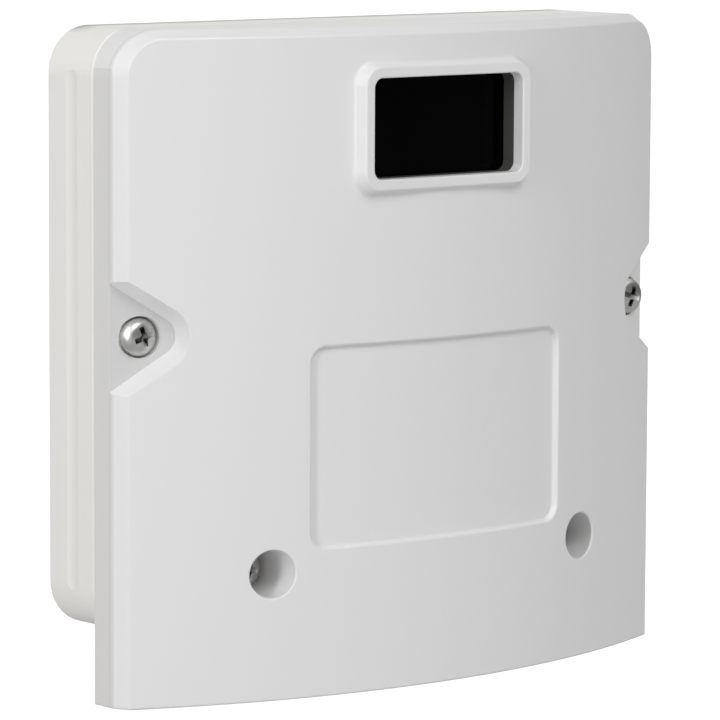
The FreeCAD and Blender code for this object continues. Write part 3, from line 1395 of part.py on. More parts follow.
def jumper_cap():
    """Small bridge that covers the first two pins and pulls off forwards."""
    (xa, z), (xb, zb) = jumper_pin_places()[:2]
    low = JUMPER_STRIP + JUMPER_CLEARANCE
    high = low + JUMPER_CAP_HEIGHT
    half_z = HEADER_PIN / 2 + JUMPER_CLEARANCE + JUMPER_CAP_WALL
    outer = box(
        xa - HEADER_PITCH / 2 + JUMPER_CLEARANCE, xb + HEADER_PITCH / 2 - JUMPER_CLEARANCE,
        above_board(high), above_board(low), z - half_z, z + half_z,
    )
    half = HEADER_PIN / 2 + JUMPER_CLEARANCE
    inside = JUMPER_PIN_TOP + JUMPER_CLEARANCE
    holes = [
        box(x - half, x + half, above_board(inside), above_board(low - 1), z - half, z + half)
        for x in (xa, xb)
    ]
    return outer.cut(holes)


# Lamps behind the window


def led_places():
    middle = (WINDOW_LEFT + WINDOW_RIGHT) / 2
    return {
        "power_led": (middle - LED_SPREAD / 2, WINDOW_MIDDLE),
        "signal_led": (middle + LED_SPREAD / 2, WINDOW_MIDDLE),
    }


def led_base():
    """Y of the underside of a lamp, set by the lens that it stands behind."""
    return LENS_BACK + LED_LENS_GAP + LED_HEIGHT


def led(name):
    x, z = led_places()[name]
    base = led_base()
    tip = base - LED_HEIGHT
    dome = Part.makeSphere(LED_RADIUS, point(x, tip + LED_RADIUS, z))
    stem = round_bar(x, z, LED_RADIUS, tip + LED_RADIUS, base)
    flange = round_bar(x, z, LED_RADIUS + LED_FLANGE, base - LED_FLANGE_HEIGHT, base)
    flat = box(
        x - LED_RADIUS - 2 * LED_FLANGE, x - LED_RADIUS, base - LED_FLANGE_HEIGHT - 1, base + 1,
        z - 2 * LED_RADIUS, z + 2 * LED_RADIUS,
    )
    wires = [round_bar(px, pz, r, base, BOARD_BACK + LEAD_OUT) for px, pz, r in leads_of()[name]]
    return joined([joined([dome, stem, flange]).cut(flat)] + wires)


def led_spacers():
    """Tall black collars that hold the lamps up at the window."""
    spacers = []
    for name, (x, z) in led_places().items():
        tube = round_bar(x, z, LED_RADIUS, led_base(), BOARD_FRONT)
        holes = [
            round_bar(px, pz, r + LEAD_CLEARANCE, led_base() - 1, BOARD_FRONT + 1)
            for px, pz, r in leads_of()[name]
        ]
        spacers.append(tube.cut(holes))
    return Part.Compound(spacers)


# Power supply and small parts


def regulator_place():
    return BOARD_LEFT + REGULATOR_INSET_X, BOARD_LOW + REGULATOR_RISE


def regulator_share():
    """How tall the regulator is for its size, so that its tab keeps its gap behind the crown of the face."""
    room = FACE_DEPTH + BOARD_FRONT - REGULATOR_STAND - REGULATOR_FACE_GAP
    return room / (REGULATOR_BODY + REGULATOR_TAB)


def voltage_regulator():
    x, z = regulator_place()
    low, high = REGULATOR_STAND, REGULATOR_STAND + REGULATOR_BODY * regulator_share()
    half = REGULATOR_WIDTH / 2
    back = z + REGULATOR_DEPTH / 2
    body = box(
        x - half, x + half, above_board(high), above_board(low),
        back - REGULATOR_DEPTH, back - REGULATOR_TAB_THICKNESS,
    )
    body = body.makeChamfer(0.5, edges_where(body, lambda e: e.BoundBox.ZMax < back - REGULATOR_DEPTH + 1e-3))
    wires = [
        round_bar(px, pz, r, above_board(low), BOARD_BACK + LEAD_OUT)
        for px, pz, r in leads_of()["voltage_regulator"]
    ]
    return joined([body] + wires)


def regulator_tab():
    """Metal heat tab behind the regulator, with its screw hole standing above it."""
    x, z = regulator_place()
    half = REGULATOR_WIDTH / 2
    back = z + REGULATOR_DEPTH / 2
    low = REGULATOR_STAND + 0.4
    tab = REGULATOR_TAB * regulator_share()
    high = REGULATOR_STAND + REGULATOR_BODY * regulator_share() + tab
    plate = box(x - half, x + half, above_board(high), above_board(low), back - REGULATOR_TAB_THICKNESS, back)
    hole_y = above_board(high - tab / 2)
    hole_radius = REGULATOR_TAB_HOLE * regulator_share()
    hole = bar_along_z(x, hole_y, hole_radius, back - 2 * REGULATOR_TAB_THICKNESS, back + 1)
    return plate.cut(hole)


def capacitor_places():
    """Name to X, Z, radius and height."""
    return {
        "filter_capacitor": (
            BOARD_LEFT + FILTER_CAPACITOR_INSET_X, BOARD_LOW + FILTER_CAPACITOR_RISE,
            FILTER_CAPACITOR_RADIUS, FILTER_CAPACITOR_HEIGHT,
        ),
        "output_capacitor": (
            BOARD_LEFT + OUTPUT_CAPACITOR_INSET_X, BOARD_LOW + OUTPUT_CAPACITOR_RISE,
            OUTPUT_CAPACITOR_RADIUS, OUTPUT_CAPACITOR_HEIGHT,
        ),
    }


def capacitor(name):
    """Upright can with a rolled groove near its foot and a softened top edge."""
    x, z, radius, height = capacitor_places()[name]
    can = round_bar(x, z, radius, above_board(height), above_board(CAPACITOR_STAND))
    front = above_board(height)
    can = can.makeFillet(radius * 0.12, edges_where(can, lambda e: e.BoundBox.YMax < front + 1e-3))
    groove = Part.makeTorus(radius, radius * 0.12, point(x, above_board(radius * 0.5), z), point(0, 1, 0))
    foot = round_bar(x, z, radius * 0.8, above_board(CAPACITOR_STAND + 0.1), BOARD_FRONT)
    return joined([can.cut(groove), foot] + legs(name))


def diode_places():
    return [(BOARD_LEFT + dx, BOARD_LOW + dz) for dx in DIODE_INSETS for dz in DIODE_RISES]


def axial_part(x, z, along_z, span, body_length, body_radius, lead_radius):
    """Barrel lying on the board with both leads bent down through it."""
    y = above_board(body_radius)
    half = span / 2
    if along_z:
        barrel = bar_along_z(x, y, body_radius, z - body_length / 2, z + body_length / 2)
        wire = bar_along_z(x, y, lead_radius, z - half, z + half)
        ends = [(x, z - half), (x, z + half)]
    else:
        barrel = bar_along_x(y, z, body_radius, x - body_length / 2, x + body_length / 2)
        wire = bar_along_x(y, z, lead_radius, x - half, x + half)
        ends = [(x - half, z), (x + half, z)]
    barrel = barrel.makeFillet(body_radius * 0.3, barrel.Edges[0:1] + barrel.Edges[2:3])
    pieces = [barrel, wire]
    for ex, ez in ends:
        pieces.append(Part.makeSphere(lead_radius, point(ex, y, ez)))
        pieces.append(round_bar(ex, ez, lead_radius, y, BOARD_BACK + LEAD_OUT))
    return joined(pieces)


def rectifier_diodes():
    return Part.Compound([
        axial_part(x, z, True, DIODE_SPAN, DIODE_BODY, DIODE_RADIUS, DIODE_LEAD) for x, z in diode_places()
    ])


def resistor_places():
    x = BOARD_LEFT + RESISTOR_INSET_X
    return [(x, BOARD_LOW + RESISTOR_RISE + RESISTOR_STEP * index) for index in range(RESISTOR_COUNT)]


def resistors():
    return Part.Compound([
        axial_part(x, z, False, RESISTOR_SPAN, RESISTOR_BODY, RESISTOR_RADIUS, RESISTOR_LEAD)
        for x, z in resistor_places()
    ])


def varistor_place():
    return BOARD_LEFT + VARISTOR_INSET_X, BOARD_LOW + VARISTOR_RISE


def surge_varistor():
    """Lacquered disc standing on its two leads."""
    x, z = varistor_place()
    y = above_board(VARISTOR_STAND + VARISTOR_RADIUS)
    disc = bar_along_z(x, y, VARISTOR_RADIUS, z - VARISTOR_THICKNESS / 2, z + VARISTOR_THICKNESS / 2)
    disc = disc.makeFillet(VARISTOR_THICKNESS * 0.3, disc.Edges[0:1] + disc.Edges[2:3])
    wires = [
        round_bar(px, pz, r, above_board(VARISTOR_STAND + VARISTOR_RADIUS), BOARD_BACK + LEAD_OUT)
        for px, pz, r in leads_of()["surge_varistor"]
    ]
    return joined([disc] + wires)


def transistor_places():
    middle = BOARD_RIGHT - TRANSISTOR_INSET_X
    return [(middle + side * TRANSISTOR_SPREAD / 2, BOARD_LOW + TRANSISTOR_RISE) for side in (-1, 1)]


def driver_transistors():
    bodies = []
    leads = leads_of()["driver_transistors"]
    for index, (x, z) in enumerate(transistor_places()):
        low, high = TRANSISTOR_STAND, TRANSISTOR_STAND + TRANSISTOR_HEIGHT
        barrel = round_bar(x, z, TRANSISTOR_RADIUS, above_board(high), above_board(low))
        flat = box(
            x - 2 * TRANSISTOR_RADIUS, x + 2 * TRANSISTOR_RADIUS, above_board(high + 1), above_board(low - 1),
            z - 2 * TRANSISTOR_RADIUS, z - TRANSISTOR_RADIUS * 0.55,
        )
        wires = [
            round_bar(px, pz, r, above_board(low + 0.5), BOARD_BACK + LEAD_OUT)
            for px, pz, r in leads[3 * index:3 * index + 3]
        ]
        bodies.append(joined([barrel.cut(flat)] + wires))
    return Part.Compound(bodies)


# Write every piece

os.makedirs("parts", exist_ok=True)
write("rear_body", rear_body())
write("cable_grommet", cable_grommet())
write("front_cover", front_cover())
write("window_lens", window_lens())
for screw_name, screw_x, screw_z, screw_seat, screw_turn in cover_screw_places():
    write(screw_name, cover_screw(screw_x, screw_z, screw_seat, screw_turn))
write("circuit_board", circuit_board())
write("board_screws", board_screws())
write("terminal_block", terminal_block())
write("terminal_contacts", terminal_contacts())
for number, terminal_x in enumerate(terminal_xs(), start=1):
    write("terminal_screw_" + str(number), terminal_screw(terminal_x, TERMINAL_SLOT_TURN * number))
    write("terminal_clamp_" + str(number), terminal_clamp(terminal_x))
for relay_name in relay_places():
    write(relay_name, relay(relay_name))
for chip_name in chip_places():
    write(chip_name, chip(chip_name))
write("crystal", crystal())
write("radio_board", radio_board())
write("radio_can", radio_can())
write("radio_header", radio_header())
write("radio_pins", radio_pins())
write("antenna_coil", antenna_coil())
write("learn_button_base", learn_button_base())
write("learn_button", learn_button())
write("jumper_header", jumper_header())
write("jumper_pins", jumper_pins())
write("jumper_cap", jumper_cap())
for led_name in led_places():
    write(led_name, led(led_name))
write("led_spacers", led_spacers())
write("voltage_regulator", voltage_regulator())
write("regulator_tab", regulator_tab())
for capacitor_name in capacitor_places():
    write(capacitor_name, capacitor(capacitor_name))
write("rectifier_diodes", rectifier_diodes())
write("surge_varistor", surge_varistor())
write("driver_transistors", driver_transistors())
write("resistors", resistors())
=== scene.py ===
import bpy
import math
from mathutils import Matrix, Vector


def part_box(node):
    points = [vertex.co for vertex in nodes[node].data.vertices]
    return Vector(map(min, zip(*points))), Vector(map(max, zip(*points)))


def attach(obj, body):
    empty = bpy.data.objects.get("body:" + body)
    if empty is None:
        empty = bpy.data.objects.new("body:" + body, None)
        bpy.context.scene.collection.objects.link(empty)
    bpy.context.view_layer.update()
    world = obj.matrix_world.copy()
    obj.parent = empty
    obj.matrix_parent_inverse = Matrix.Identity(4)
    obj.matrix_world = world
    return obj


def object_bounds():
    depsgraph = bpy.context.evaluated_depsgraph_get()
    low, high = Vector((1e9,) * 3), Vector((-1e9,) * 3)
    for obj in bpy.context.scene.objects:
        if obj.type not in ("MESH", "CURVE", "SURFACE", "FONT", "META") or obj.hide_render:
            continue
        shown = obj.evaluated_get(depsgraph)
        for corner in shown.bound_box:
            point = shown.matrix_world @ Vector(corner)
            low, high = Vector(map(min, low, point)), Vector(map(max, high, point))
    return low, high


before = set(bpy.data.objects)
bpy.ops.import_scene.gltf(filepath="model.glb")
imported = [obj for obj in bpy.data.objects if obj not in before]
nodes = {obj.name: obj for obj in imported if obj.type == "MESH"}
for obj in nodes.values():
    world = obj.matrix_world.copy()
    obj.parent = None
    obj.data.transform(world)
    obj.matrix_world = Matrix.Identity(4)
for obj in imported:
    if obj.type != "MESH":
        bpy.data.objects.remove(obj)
cad_low, cad_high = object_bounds()
scene = bpy.context.scene
scene.view_settings.view_transform = "Standard"

# Camera: a long lens to the left of the box and a little above it, as in the photograph.
# It looks 40 degrees to the right of the cover's own axis, and down by seven.
LENS_MM = 242.1
SENSOR_MM = 36.0
VIEW_TURN = math.radians(40.03)
VIEW_DOWN = math.radians(6.957)
VIEW_ROLL = math.radians(0.267)
CAMERA_PLACE = Vector((-0.55179, -0.67150, 0.09038))
CAMERA_NEAR_LIMIT = 0.05
FRAME_SHIFT = (-0.02137, 0.03636)
camera_data = bpy.data.cameras.new("camera")
camera_data.lens = LENS_MM
camera_data.sensor_width = SENSOR_MM
camera_data.shift_x, camera_data.shift_y = FRAME_SHIFT
camera_data.clip_start = CAMERA_NEAR_LIMIT
camera = bpy.data.objects.new("camera", camera_data)
scene.collection.objects.link(camera)
camera.matrix_world = (
    Matrix.Translation(CAMERA_PLACE)
    @ Matrix.Rotation(-VIEW_TURN, 4, "Z")
    @ Matrix.Rotation(math.pi / 2 - VIEW_DOWN, 4, "X")
    @ Matrix.Rotation(VIEW_ROLL, 4, "Z")
)
scene.camera = camera

# Studio: an even white room, a large soft lamp high in front and a narrow one beside the box on the left.
# A gloss surface mirrors the room as bright on the left, overhead and behind the box, and dark elsewhere.
ROOM_LIGHT = 0.40
ROOM_BACKDROP = 0.85
ROOM_DARK_SIDE = 0.18
ROOM_LEFT_SIDE = 2.1
ROOM_LOW_SHARE = 0.2
ROOM_OVERHEAD = 1.04
LEFT_SPAN = (-0.25, -0.85)
BEHIND_SPAN = (0.15, 0.55)
LOW_SPAN = (-0.35, 0.25)
OVERHEAD_SPAN = (0.40, 0.75)
world = bpy.data.worlds.new("studio")
scene.world = world
world.use_nodes = True
room = world.node_tree
room.nodes.clear()


def feed(tree, socket, value):
    """Give a socket its value, or link it where the value is another socket."""
    if isinstance(value, bpy.types.NodeSocket):
        tree.links.new(value, socket)
    else:
        socket.default_value = value


def add_math(tree, operation, *values):
    """One sum in a node tree; each value is a socket or a number."""
    node = tree.nodes.new("ShaderNodeMath")
    node.operation = operation
    for socket, value in zip(node.inputs, values):
        feed(tree, socket, value)
    return node.outputs[0]


def add_ramp(tree, value, low, high, start=0.0, end=1.0):
    """Value carried from start at low to end at high, and held there."""
    node = tree.nodes.new("ShaderNodeMapRange")
    for label, number in (("From Min", low), ("From Max", high), ("To Min", start), ("To Max", end)):
        node.inputs[label].default_value = number
    tree.links.new(value, node.inputs["Value"])
    return node.outputs["Result"]


direction = room.nodes.new("ShaderNodeTexCoord")
split = room.nodes.new("ShaderNodeSeparateXYZ")
room.links.new(direction.outputs["Generated"], split.inputs["Vector"])
leftness = add_ramp(room, split.outputs["X"], *LEFT_SPAN)
behind = add_ramp(room, split.outputs["Y"], *BEHIND_SPAN)
high_share = add_ramp(room, split.outputs["Z"], *LOW_SPAN, ROOM_LOW_SHARE)
overhead = add_ramp(room, split.outputs["Z"], *OVERHEAD_SPAN)
side_level = add_math(room, "MULTIPLY_ADD", leftness, ROOM_LEFT_SIDE, ROOM_DARK_SIDE)
side_level = add_math(room, "MULTIPLY", side_level, high_share)
mirrored = add_math(room, "MAXIMUM", side_level, add_math(room, "MULTIPLY", behind, ROOM_BACKDROP))
mirrored = add_math(room, "MAXIMUM", mirrored, add_math(room, "MULTIPLY", overhead, ROOM_OVERHEAD))
path = room.nodes.new("ShaderNodeLightPath").outputs
glossy = path["Is Glossy Ray"]
diffuse_level = add_math(room, "MULTIPLY", add_math(room, "SUBTRACT", 1.0, glossy), ROOM_LIGHT)
level = add_math(room, "ADD", diffuse_level, add_math(room, "MULTIPLY", glossy, mirrored))
clear = add_math(room, "MAXIMUM", path["Is Camera Ray"], path["Is Transmission Ray"])
sky = room.nodes.new("ShaderNodeBackground")
sky.inputs["Color"].default_value = (1, 1, 1, 1)
feed(room, sky.inputs["Strength"], add_math(room, "MAXIMUM", level, clear))
room_output = room.nodes.new("ShaderNodeOutputWorld")
room.links.new(sky.outputs["Background"], room_output.inputs["Surface"])


def lamp(name, azimuth, elevation, distance, width, height, power):
    """Rectangular soft lamp that faces the middle of the box; azimuth runs from the front to the left."""
    turn, rise = math.radians(azimuth), math.radians(elevation)
    data = bpy.data.lights.new(name, "AREA")
    data.shape = "RECTANGLE"
    data.size, data.size_y = width, height
    data.energy = power
    made = bpy.data.objects.new(name, data)
    heading = Vector((-math.sin(turn) * math.cos(rise), -math.cos(turn) * math.cos(rise), math.sin(rise)))
    made.location = distance * heading
    made.rotation_euler = (-made.location).to_track_quat("-Z", "Y").to_euler()
    scene.collection.objects.link(made)


lamp("key_lamp", azimuth=6, elevation=44, distance=1.6, width=0.9, height=0.7, power=8.5)
lamp("side_lamp", azimuth=74, elevation=10, distance=1.4, width=0.26, height=1.1, power=7.7)

# Floor: a wide white sheet a little below the box, which hangs clear of it as it would on a wall.
# It is seen from above only, so that a camera under the box looks through it.
FLOOR_HALF = 4.0
FLOOR_DROP = 0.03
FLOOR_WHITE = 0.70
FLOOR_ROUGHNESS = 0.9
FLOOR_LIFT = 0.76
floor_mesh = bpy.data.meshes.new("floor")
floor_z = cad_low[2] - FLOOR_DROP
floor_mesh.from_pydata(
    [(sx * FLOOR_HALF, sy * FLOOR_HALF, floor_z) for sx, sy in ((-1, -1), (1, -1), (1, 1), (-1, 1))],
    [], [(0, 1, 2, 3)],
)
floor = bpy.data.objects.new("floor", floor_mesh)
scene.collection.objects.link(floor)
paper = bpy.data.materials.new("studio_paper")
paper.use_nodes = True
paper_tree = paper.node_tree
paper_nodes, paper_links = paper_tree.nodes, paper_tree.links
sheet = paper_nodes["Principled BSDF"]
sheet.inputs["Base Color"].default_value = (FLOOR_WHITE, FLOOR_WHITE, FLOOR_WHITE, 1)
sheet.inputs["Roughness"].default_value = FLOOR_ROUGHNESS
seen = paper_nodes.new("ShaderNodeLightPath").outputs
plainly = add_math(paper_tree, "MAXIMUM", seen["Is Camera Ray"], seen["Is Transmission Ray"])
glow = paper_nodes.new("ShaderNodeEmission")
feed(paper_tree, glow.inputs["Strength"], add_math(paper_tree, "MULTIPLY", plainly, FLOOR_LIFT))
both = paper_nodes.new("ShaderNodeAddShader")
paper_links.new(sheet.outputs["BSDF"], both.inputs[0])
paper_links.new(glow.outputs["Emission"], both.inputs[1])
facing = paper_nodes.new("ShaderNodeNewGeometry")
see_through = paper_nodes.new("ShaderNodeBsdfTransparent")
one_sided = paper_nodes.new("ShaderNodeMixShader")
paper_links.new(facing.outputs["Backfacing"], one_sided.inputs[0])
paper_links.new(both.outputs["Shader"], one_sided.inputs[1])
paper_links.new(see_through.outputs["BSDF"], one_sided.inputs[2])
paper_links.new(one_sided.outputs["Shader"], paper_nodes["Material Output"].inputs["Surface"])
floor_mesh.materials.append(paper)

# Rear body: the shallow shell on the wall, moulded in warm white plastic with a fine satin grain.
# Its outer wall carries a soft channel on each side, and its bosses take the cover and board screws.
BODY_WHITE = (0.905, 0.892, 0.856)
BODY_SHADE = (0.895, 0.881, 0.842)
TOP_EDGE_SHADE_TONE = (0.40, 0.40, 0.39)
TOP_EDGE_SHADE_ROUGHNESS = 0.8
TOP_EDGE_SHADE_BELOW_TOP = (0.0012, 0.0001)
TOP_EDGE_SHADE_WALL_SPAN = (-0.0060, -0.0008)


def new_group(name, inputs, outputs):
    """Empty shader node group with float inputs that carry defaults, and float outputs."""
    tree = bpy.data.node_groups.new(name, "ShaderNodeTree")
    for label, value in inputs:
        socket = tree.interface.new_socket(name=label, in_out="INPUT", socket_type="NodeSocketFloat")
        socket.default_value = value
    for label in outputs:
        tree.interface.new_socket(name=label, in_out="OUTPUT", socket_type="NodeSocketFloat")
    return tree, tree.nodes.new("NodeGroupInput"), tree.nodes.new("NodeGroupOutput")


def add_noise(tree, place, scale, detail):
    """Cloudy pattern from 0 to 1; the scale is a socket or a number."""
    node = tree.nodes.new("ShaderNodeTexNoise")
    node.inputs["Detail"].default_value = detail
    node.inputs["Roughness"].default_value = 0.5
    feed(tree, node.inputs["Vector"], place)
    feed(tree, node.inputs["Scale"], scale)
    return node.outputs["Fac"]


# The grain of a surface: its fine relief, its slow drift of colour and its patches of gloss.
CLOUD_SPAN = (0.2, 0.8)
SMEAR_FINENESS = 4.7
grain_tree, grain_in, grain_out = new_group(
    "surface_grain", [("Grain", 1800.0), ("Cloud", 55.0)], ["Height", "Tone", "Gloss"]
)
grain_place = grain_tree.nodes.new("ShaderNodeTexCoord").outputs["Object"]
smear_scale = add_math(grain_tree, "MULTIPLY", grain_in.outputs["Cloud"], SMEAR_FINENESS)
fine = add_noise(grain_tree, grain_place, grain_in.outputs["Grain"], detail=3.0)
slow = add_noise(grain_tree, grain_place, grain_in.outputs["Cloud"], detail=1.0)
smear = add_noise(grain_tree, grain_place, smear_scale, detail=1.0)
feed(grain_tree, grain_out.inputs["Height"], fine)
feed(grain_tree, grain_out.inputs["Tone"], add_ramp(grain_tree, slow, *CLOUD_SPAN))
feed(grain_tree, grain_out.inputs["Gloss"], add_ramp(grain_tree, smear, *CLOUD_SPAN))

# Wear and shade of a surface: where its outer edges are rubbed, and where its occluded corners take dirt
# and a painted shade.
WEAR_SAMPLES = 6
BENT_SPAN = (0.995, 0.86)
CONVEX_SPAN = (0.80, 0.97)
CORNER_SPAN = (0.78, 0.30)
wear_and_shade_tree, wear_and_shade_in, wear_and_shade_out = new_group(
    "surface_wear_and_shade", [("Edge Radius", 0.0004), ("Corner Reach", 0.003)], ["Edge", "Corner"]
)
rounded = wear_and_shade_tree.nodes.new("ShaderNodeBevel")
rounded.samples = WEAR_SAMPLES
plain = wear_and_shade_tree.nodes.new("ShaderNodeNewGeometry")
agree = wear_and_shade_tree.nodes.new("ShaderNodeVectorMath")
agree.operation = "DOT_PRODUCT"
hollow = wear_and_shade_tree.nodes.new("ShaderNodeAmbientOcclusion")
hollow.samples = WEAR_SAMPLES
hollow.only_local = True
feed(wear_and_shade_tree, rounded.inputs["Radius"], wear_and_shade_in.outputs["Edge Radius"])
feed(wear_and_shade_tree, agree.inputs[0], rounded.outputs["Normal"])
feed(wear_and_shade_tree, agree.inputs[1], plain.outputs["Normal"])
feed(wear_and_shade_tree, hollow.inputs["Distance"], wear_and_shade_in.outputs["Corner Reach"])
bent = add_ramp(wear_and_shade_tree, agree.outputs["Value"], *BENT_SPAN)
convex = add_ramp(wear_and_shade_tree, hollow.outputs["AO"], *CONVEX_SPAN)
corner = add_ramp(wear_and_shade_tree, hollow.outputs["AO"], *CORNER_SPAN)
feed(wear_and_shade_tree, wear_and_shade_out.inputs["Edge"], add_math(wear_and_shade_tree, "MULTIPLY", bent, convex))
feed(wear_and_shade_tree, wear_and_shade_out.inputs["Corner"], corner)


def mix_colour(tree, mask, first, second):
    """Mix of two colours by a mask; each colour is a socket or three numbers."""
    node = tree.nodes.new("ShaderNodeMix")
    node.data_type = "RGBA"
    tree.links.new(mask, node.inputs["Factor"])
    for label, value in (("A", first), ("B", second)):
        socket = [s for s in node.inputs if s.name == label and s.type == "RGBA"][0]
        feed(tree, socket, (*value, 1) if isinstance(value, tuple) else value)
    return [s for s in node.outputs if s.type == "RGBA"][0]


def use_group(tree, group, **values):
    """Place a node group and give its inputs their values; _ stands for a space in a name."""
    node = tree.nodes.new("ShaderNodeGroup")
    node.node_tree = group
    for label, value in values.items():
        feed(tree, node.inputs[label.replace("_", " ")], value)
    return node


def new_finish(
    name, colour, shade, roughness, gloss_range, grain, cloud, relief, relief_depth=0.00004, metallic=0.0,
    rubbed=None, rubbed_share=0.0, dirt_and_shade=None, dirt_and_shade_share=0.0, edge=0.0004, reach=0.003
):
    """Material with drifting colour, uneven gloss, fine relief, rubbed edges, and dirt with painted shade
    in its corners.
    """
    made = bpy.data.materials.new(name)
    made.use_nodes = True
    tree = made.node_tree
    shader = tree.nodes["Principled BSDF"]
    shader.inputs["Metallic"].default_value = metallic
    surface = use_group(tree, grain_tree, Grain=grain, Cloud=cloud)
    base = mix_colour(tree, surface.outputs["Tone"], colour, shade)
    if rubbed or dirt_and_shade:
        wear_and_shade = use_group(tree, wear_and_shade_tree, Edge_Radius=edge, Corner_Reach=reach).outputs
        if rubbed:
            base = mix_colour(tree, add_math(tree, "MULTIPLY", wear_and_shade["Edge"], rubbed_share), base, rubbed)
        if dirt_and_shade:
            base = mix_colour(tree, add_math(tree, "MULTIPLY", wear_and_shade["Corner"], dirt_and_shade_share), base, dirt_and_shade)
    feed(tree, shader.inputs["Base Color"], base)
    shiny, dull = roughness - gloss_range, roughness + gloss_range
    feed(tree, shader.inputs["Roughness"], add_ramp(tree, surface.outputs["Gloss"], 0.0, 1.0, shiny, dull))
    bump = tree.nodes.new("ShaderNodeBump")
    bump.inputs["Strength"].default_value = relief
    bump.inputs["Distance"].default_value = relief_depth
    feed(tree, bump.inputs["Height"], surface.outputs["Height"])
    feed(tree, shader.inputs["Normal"], bump.outputs["Normal"])
    return made


def object_axis(tree, axis):
    """One axis of the part's own coordinates, as a socket."""
    place = tree.nodes.new("ShaderNodeTexCoord")
    parts = tree.nodes.new("ShaderNodeSeparateXYZ")
    feed(tree, parts.inputs["Vector"], place.outputs["Object"])
    return parts.outputs[axis]


def overlay(made, mask, colour, roughness=None, metallic=None):
    """Lay a second finish over a material where the mask is 1."""
    tree = made.node_tree
    shader = tree.nodes["Principled BSDF"]
    under = shader.inputs["Base Color"].links[0].from_socket
    tree.links.new(mix_colour(tree, mask, under, colour), shader.inputs["Base Color"])
    for label, value in (("Roughness", roughness), ("Metallic", metallic)):
        if value is None:
            continue
        socket = shader.inputs[label]
        before = socket.links[0].from_socket if socket.is_linked else socket.default_value
        node = tree.nodes.new("ShaderNodeMix")
        feed(tree, node.inputs["Factor"], mask)
        feed(tree, node.inputs["A"], before)
        node.inputs["B"].default_value = value
        feed(tree, socket, node.outputs["Result"])


def dress(made, *names):
    """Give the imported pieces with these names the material."""
    for piece in names:
        for place in nodes[piece].material_slots:
            place.material = made


# The corner colour is a painted shade with dirt, laid darker where the body's hollows are occluded.
body_plastic = new_finish(
    "body_plastic", BODY_WHITE, BODY_SHADE, roughness=0.31, gloss_range=0.02, grain=2200.0, cloud=14.0,
    relief=0.06, rubbed=(0.91, 0.90, 0.87), rubbed_share=0.10, dirt_and_shade=(0.50, 0.48, 0.43), dirt_and_shade_share=0.35,
)
# A soft grey painted shade lies along the top of the rear edge, next to the wall.
body_tree = body_plastic.node_tree
body_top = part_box("rear_body")[1].z
edge_shade_start, edge_shade_full = (body_top - depth for depth in TOP_EDGE_SHADE_BELOW_TOP)
on_top = add_ramp(body_tree, object_axis(body_tree, "Z"), edge_shade_start, edge_shade_full)
by_wall = add_ramp(body_tree, object_axis(body_tree, "Y"), *TOP_EDGE_SHADE_WALL_SPAN)
overlay(body_plastic, add_math(body_tree, "MULTIPLY", on_top, by_wall), TOP_EDGE_SHADE_TONE, TOP_EDGE_SHADE_ROUGHNESS)
dress(body_plastic, "rear_body")

# Cable grommet: a soft black rubber bush with two flanges, pushed into the slot in the body's lower wall.
# The rubber has a dull bloom and a coarse, slightly pitted skin.
grommet_rubber = new_finish(
    "grommet_rubber", (0.022, 0.022, 0.023), (0.040, 0.039, 0.037), roughness=0.72, gloss_range=0.10,
    grain=900.0, cloud=160.0, relief=0.25, relief_depth=0.00008, rubbed=(0.085, 0.083, 0.08),
    rubbed_share=0.6, dirt_and_shade=(0.09, 0.085, 0.075), dirt_and_shade_share=0.35,
)
dress(grommet_rubber, "cable_grommet")

# Circuit board: glass laminate under green solder resist, drilled for the leads, on four standoffs.
# Copper tracks show as raised runs under the resist, and white printed outlines mark each part's place.
BOARD_FRONT = -0.0088
BOARD_BACK = -0.0072
WEAVE_TONE = (0.040, 0.190, 0.085)
WEAVE_SCALE = 380.0
WEAVE_DISTORTION = 1.5
WEAVE_SHARE = 0.25
board_laminate = new_finish(
    "board_laminate", (0.020, 0.135, 0.055), (0.026, 0.160, 0.070), roughness=0.30, gloss_range=0.08,
    grain=1400.0, cloud=180.0, relief=0.12, rubbed=(0.45, 0.42, 0.28), rubbed_share=0.8,
)
board_tree = board_laminate.node_tree
weave = board_tree.nodes.new("ShaderNodeTexWave")
weave.bands_direction = "Z"
weave.inputs["Scale"].default_value = WEAVE_SCALE
weave.inputs["Distortion"].default_value = WEAVE_DISTORTION
feed(board_tree, weave.inputs["Vector"], board_tree.nodes.new("ShaderNodeTexCoord").outputs["Object"])
overlay(board_laminate, add_math(board_tree, "MULTIPLY", weave.outputs["Fac"], WEAVE_SHARE), WEAVE_TONE)
dress(board_laminate, "circuit_board")

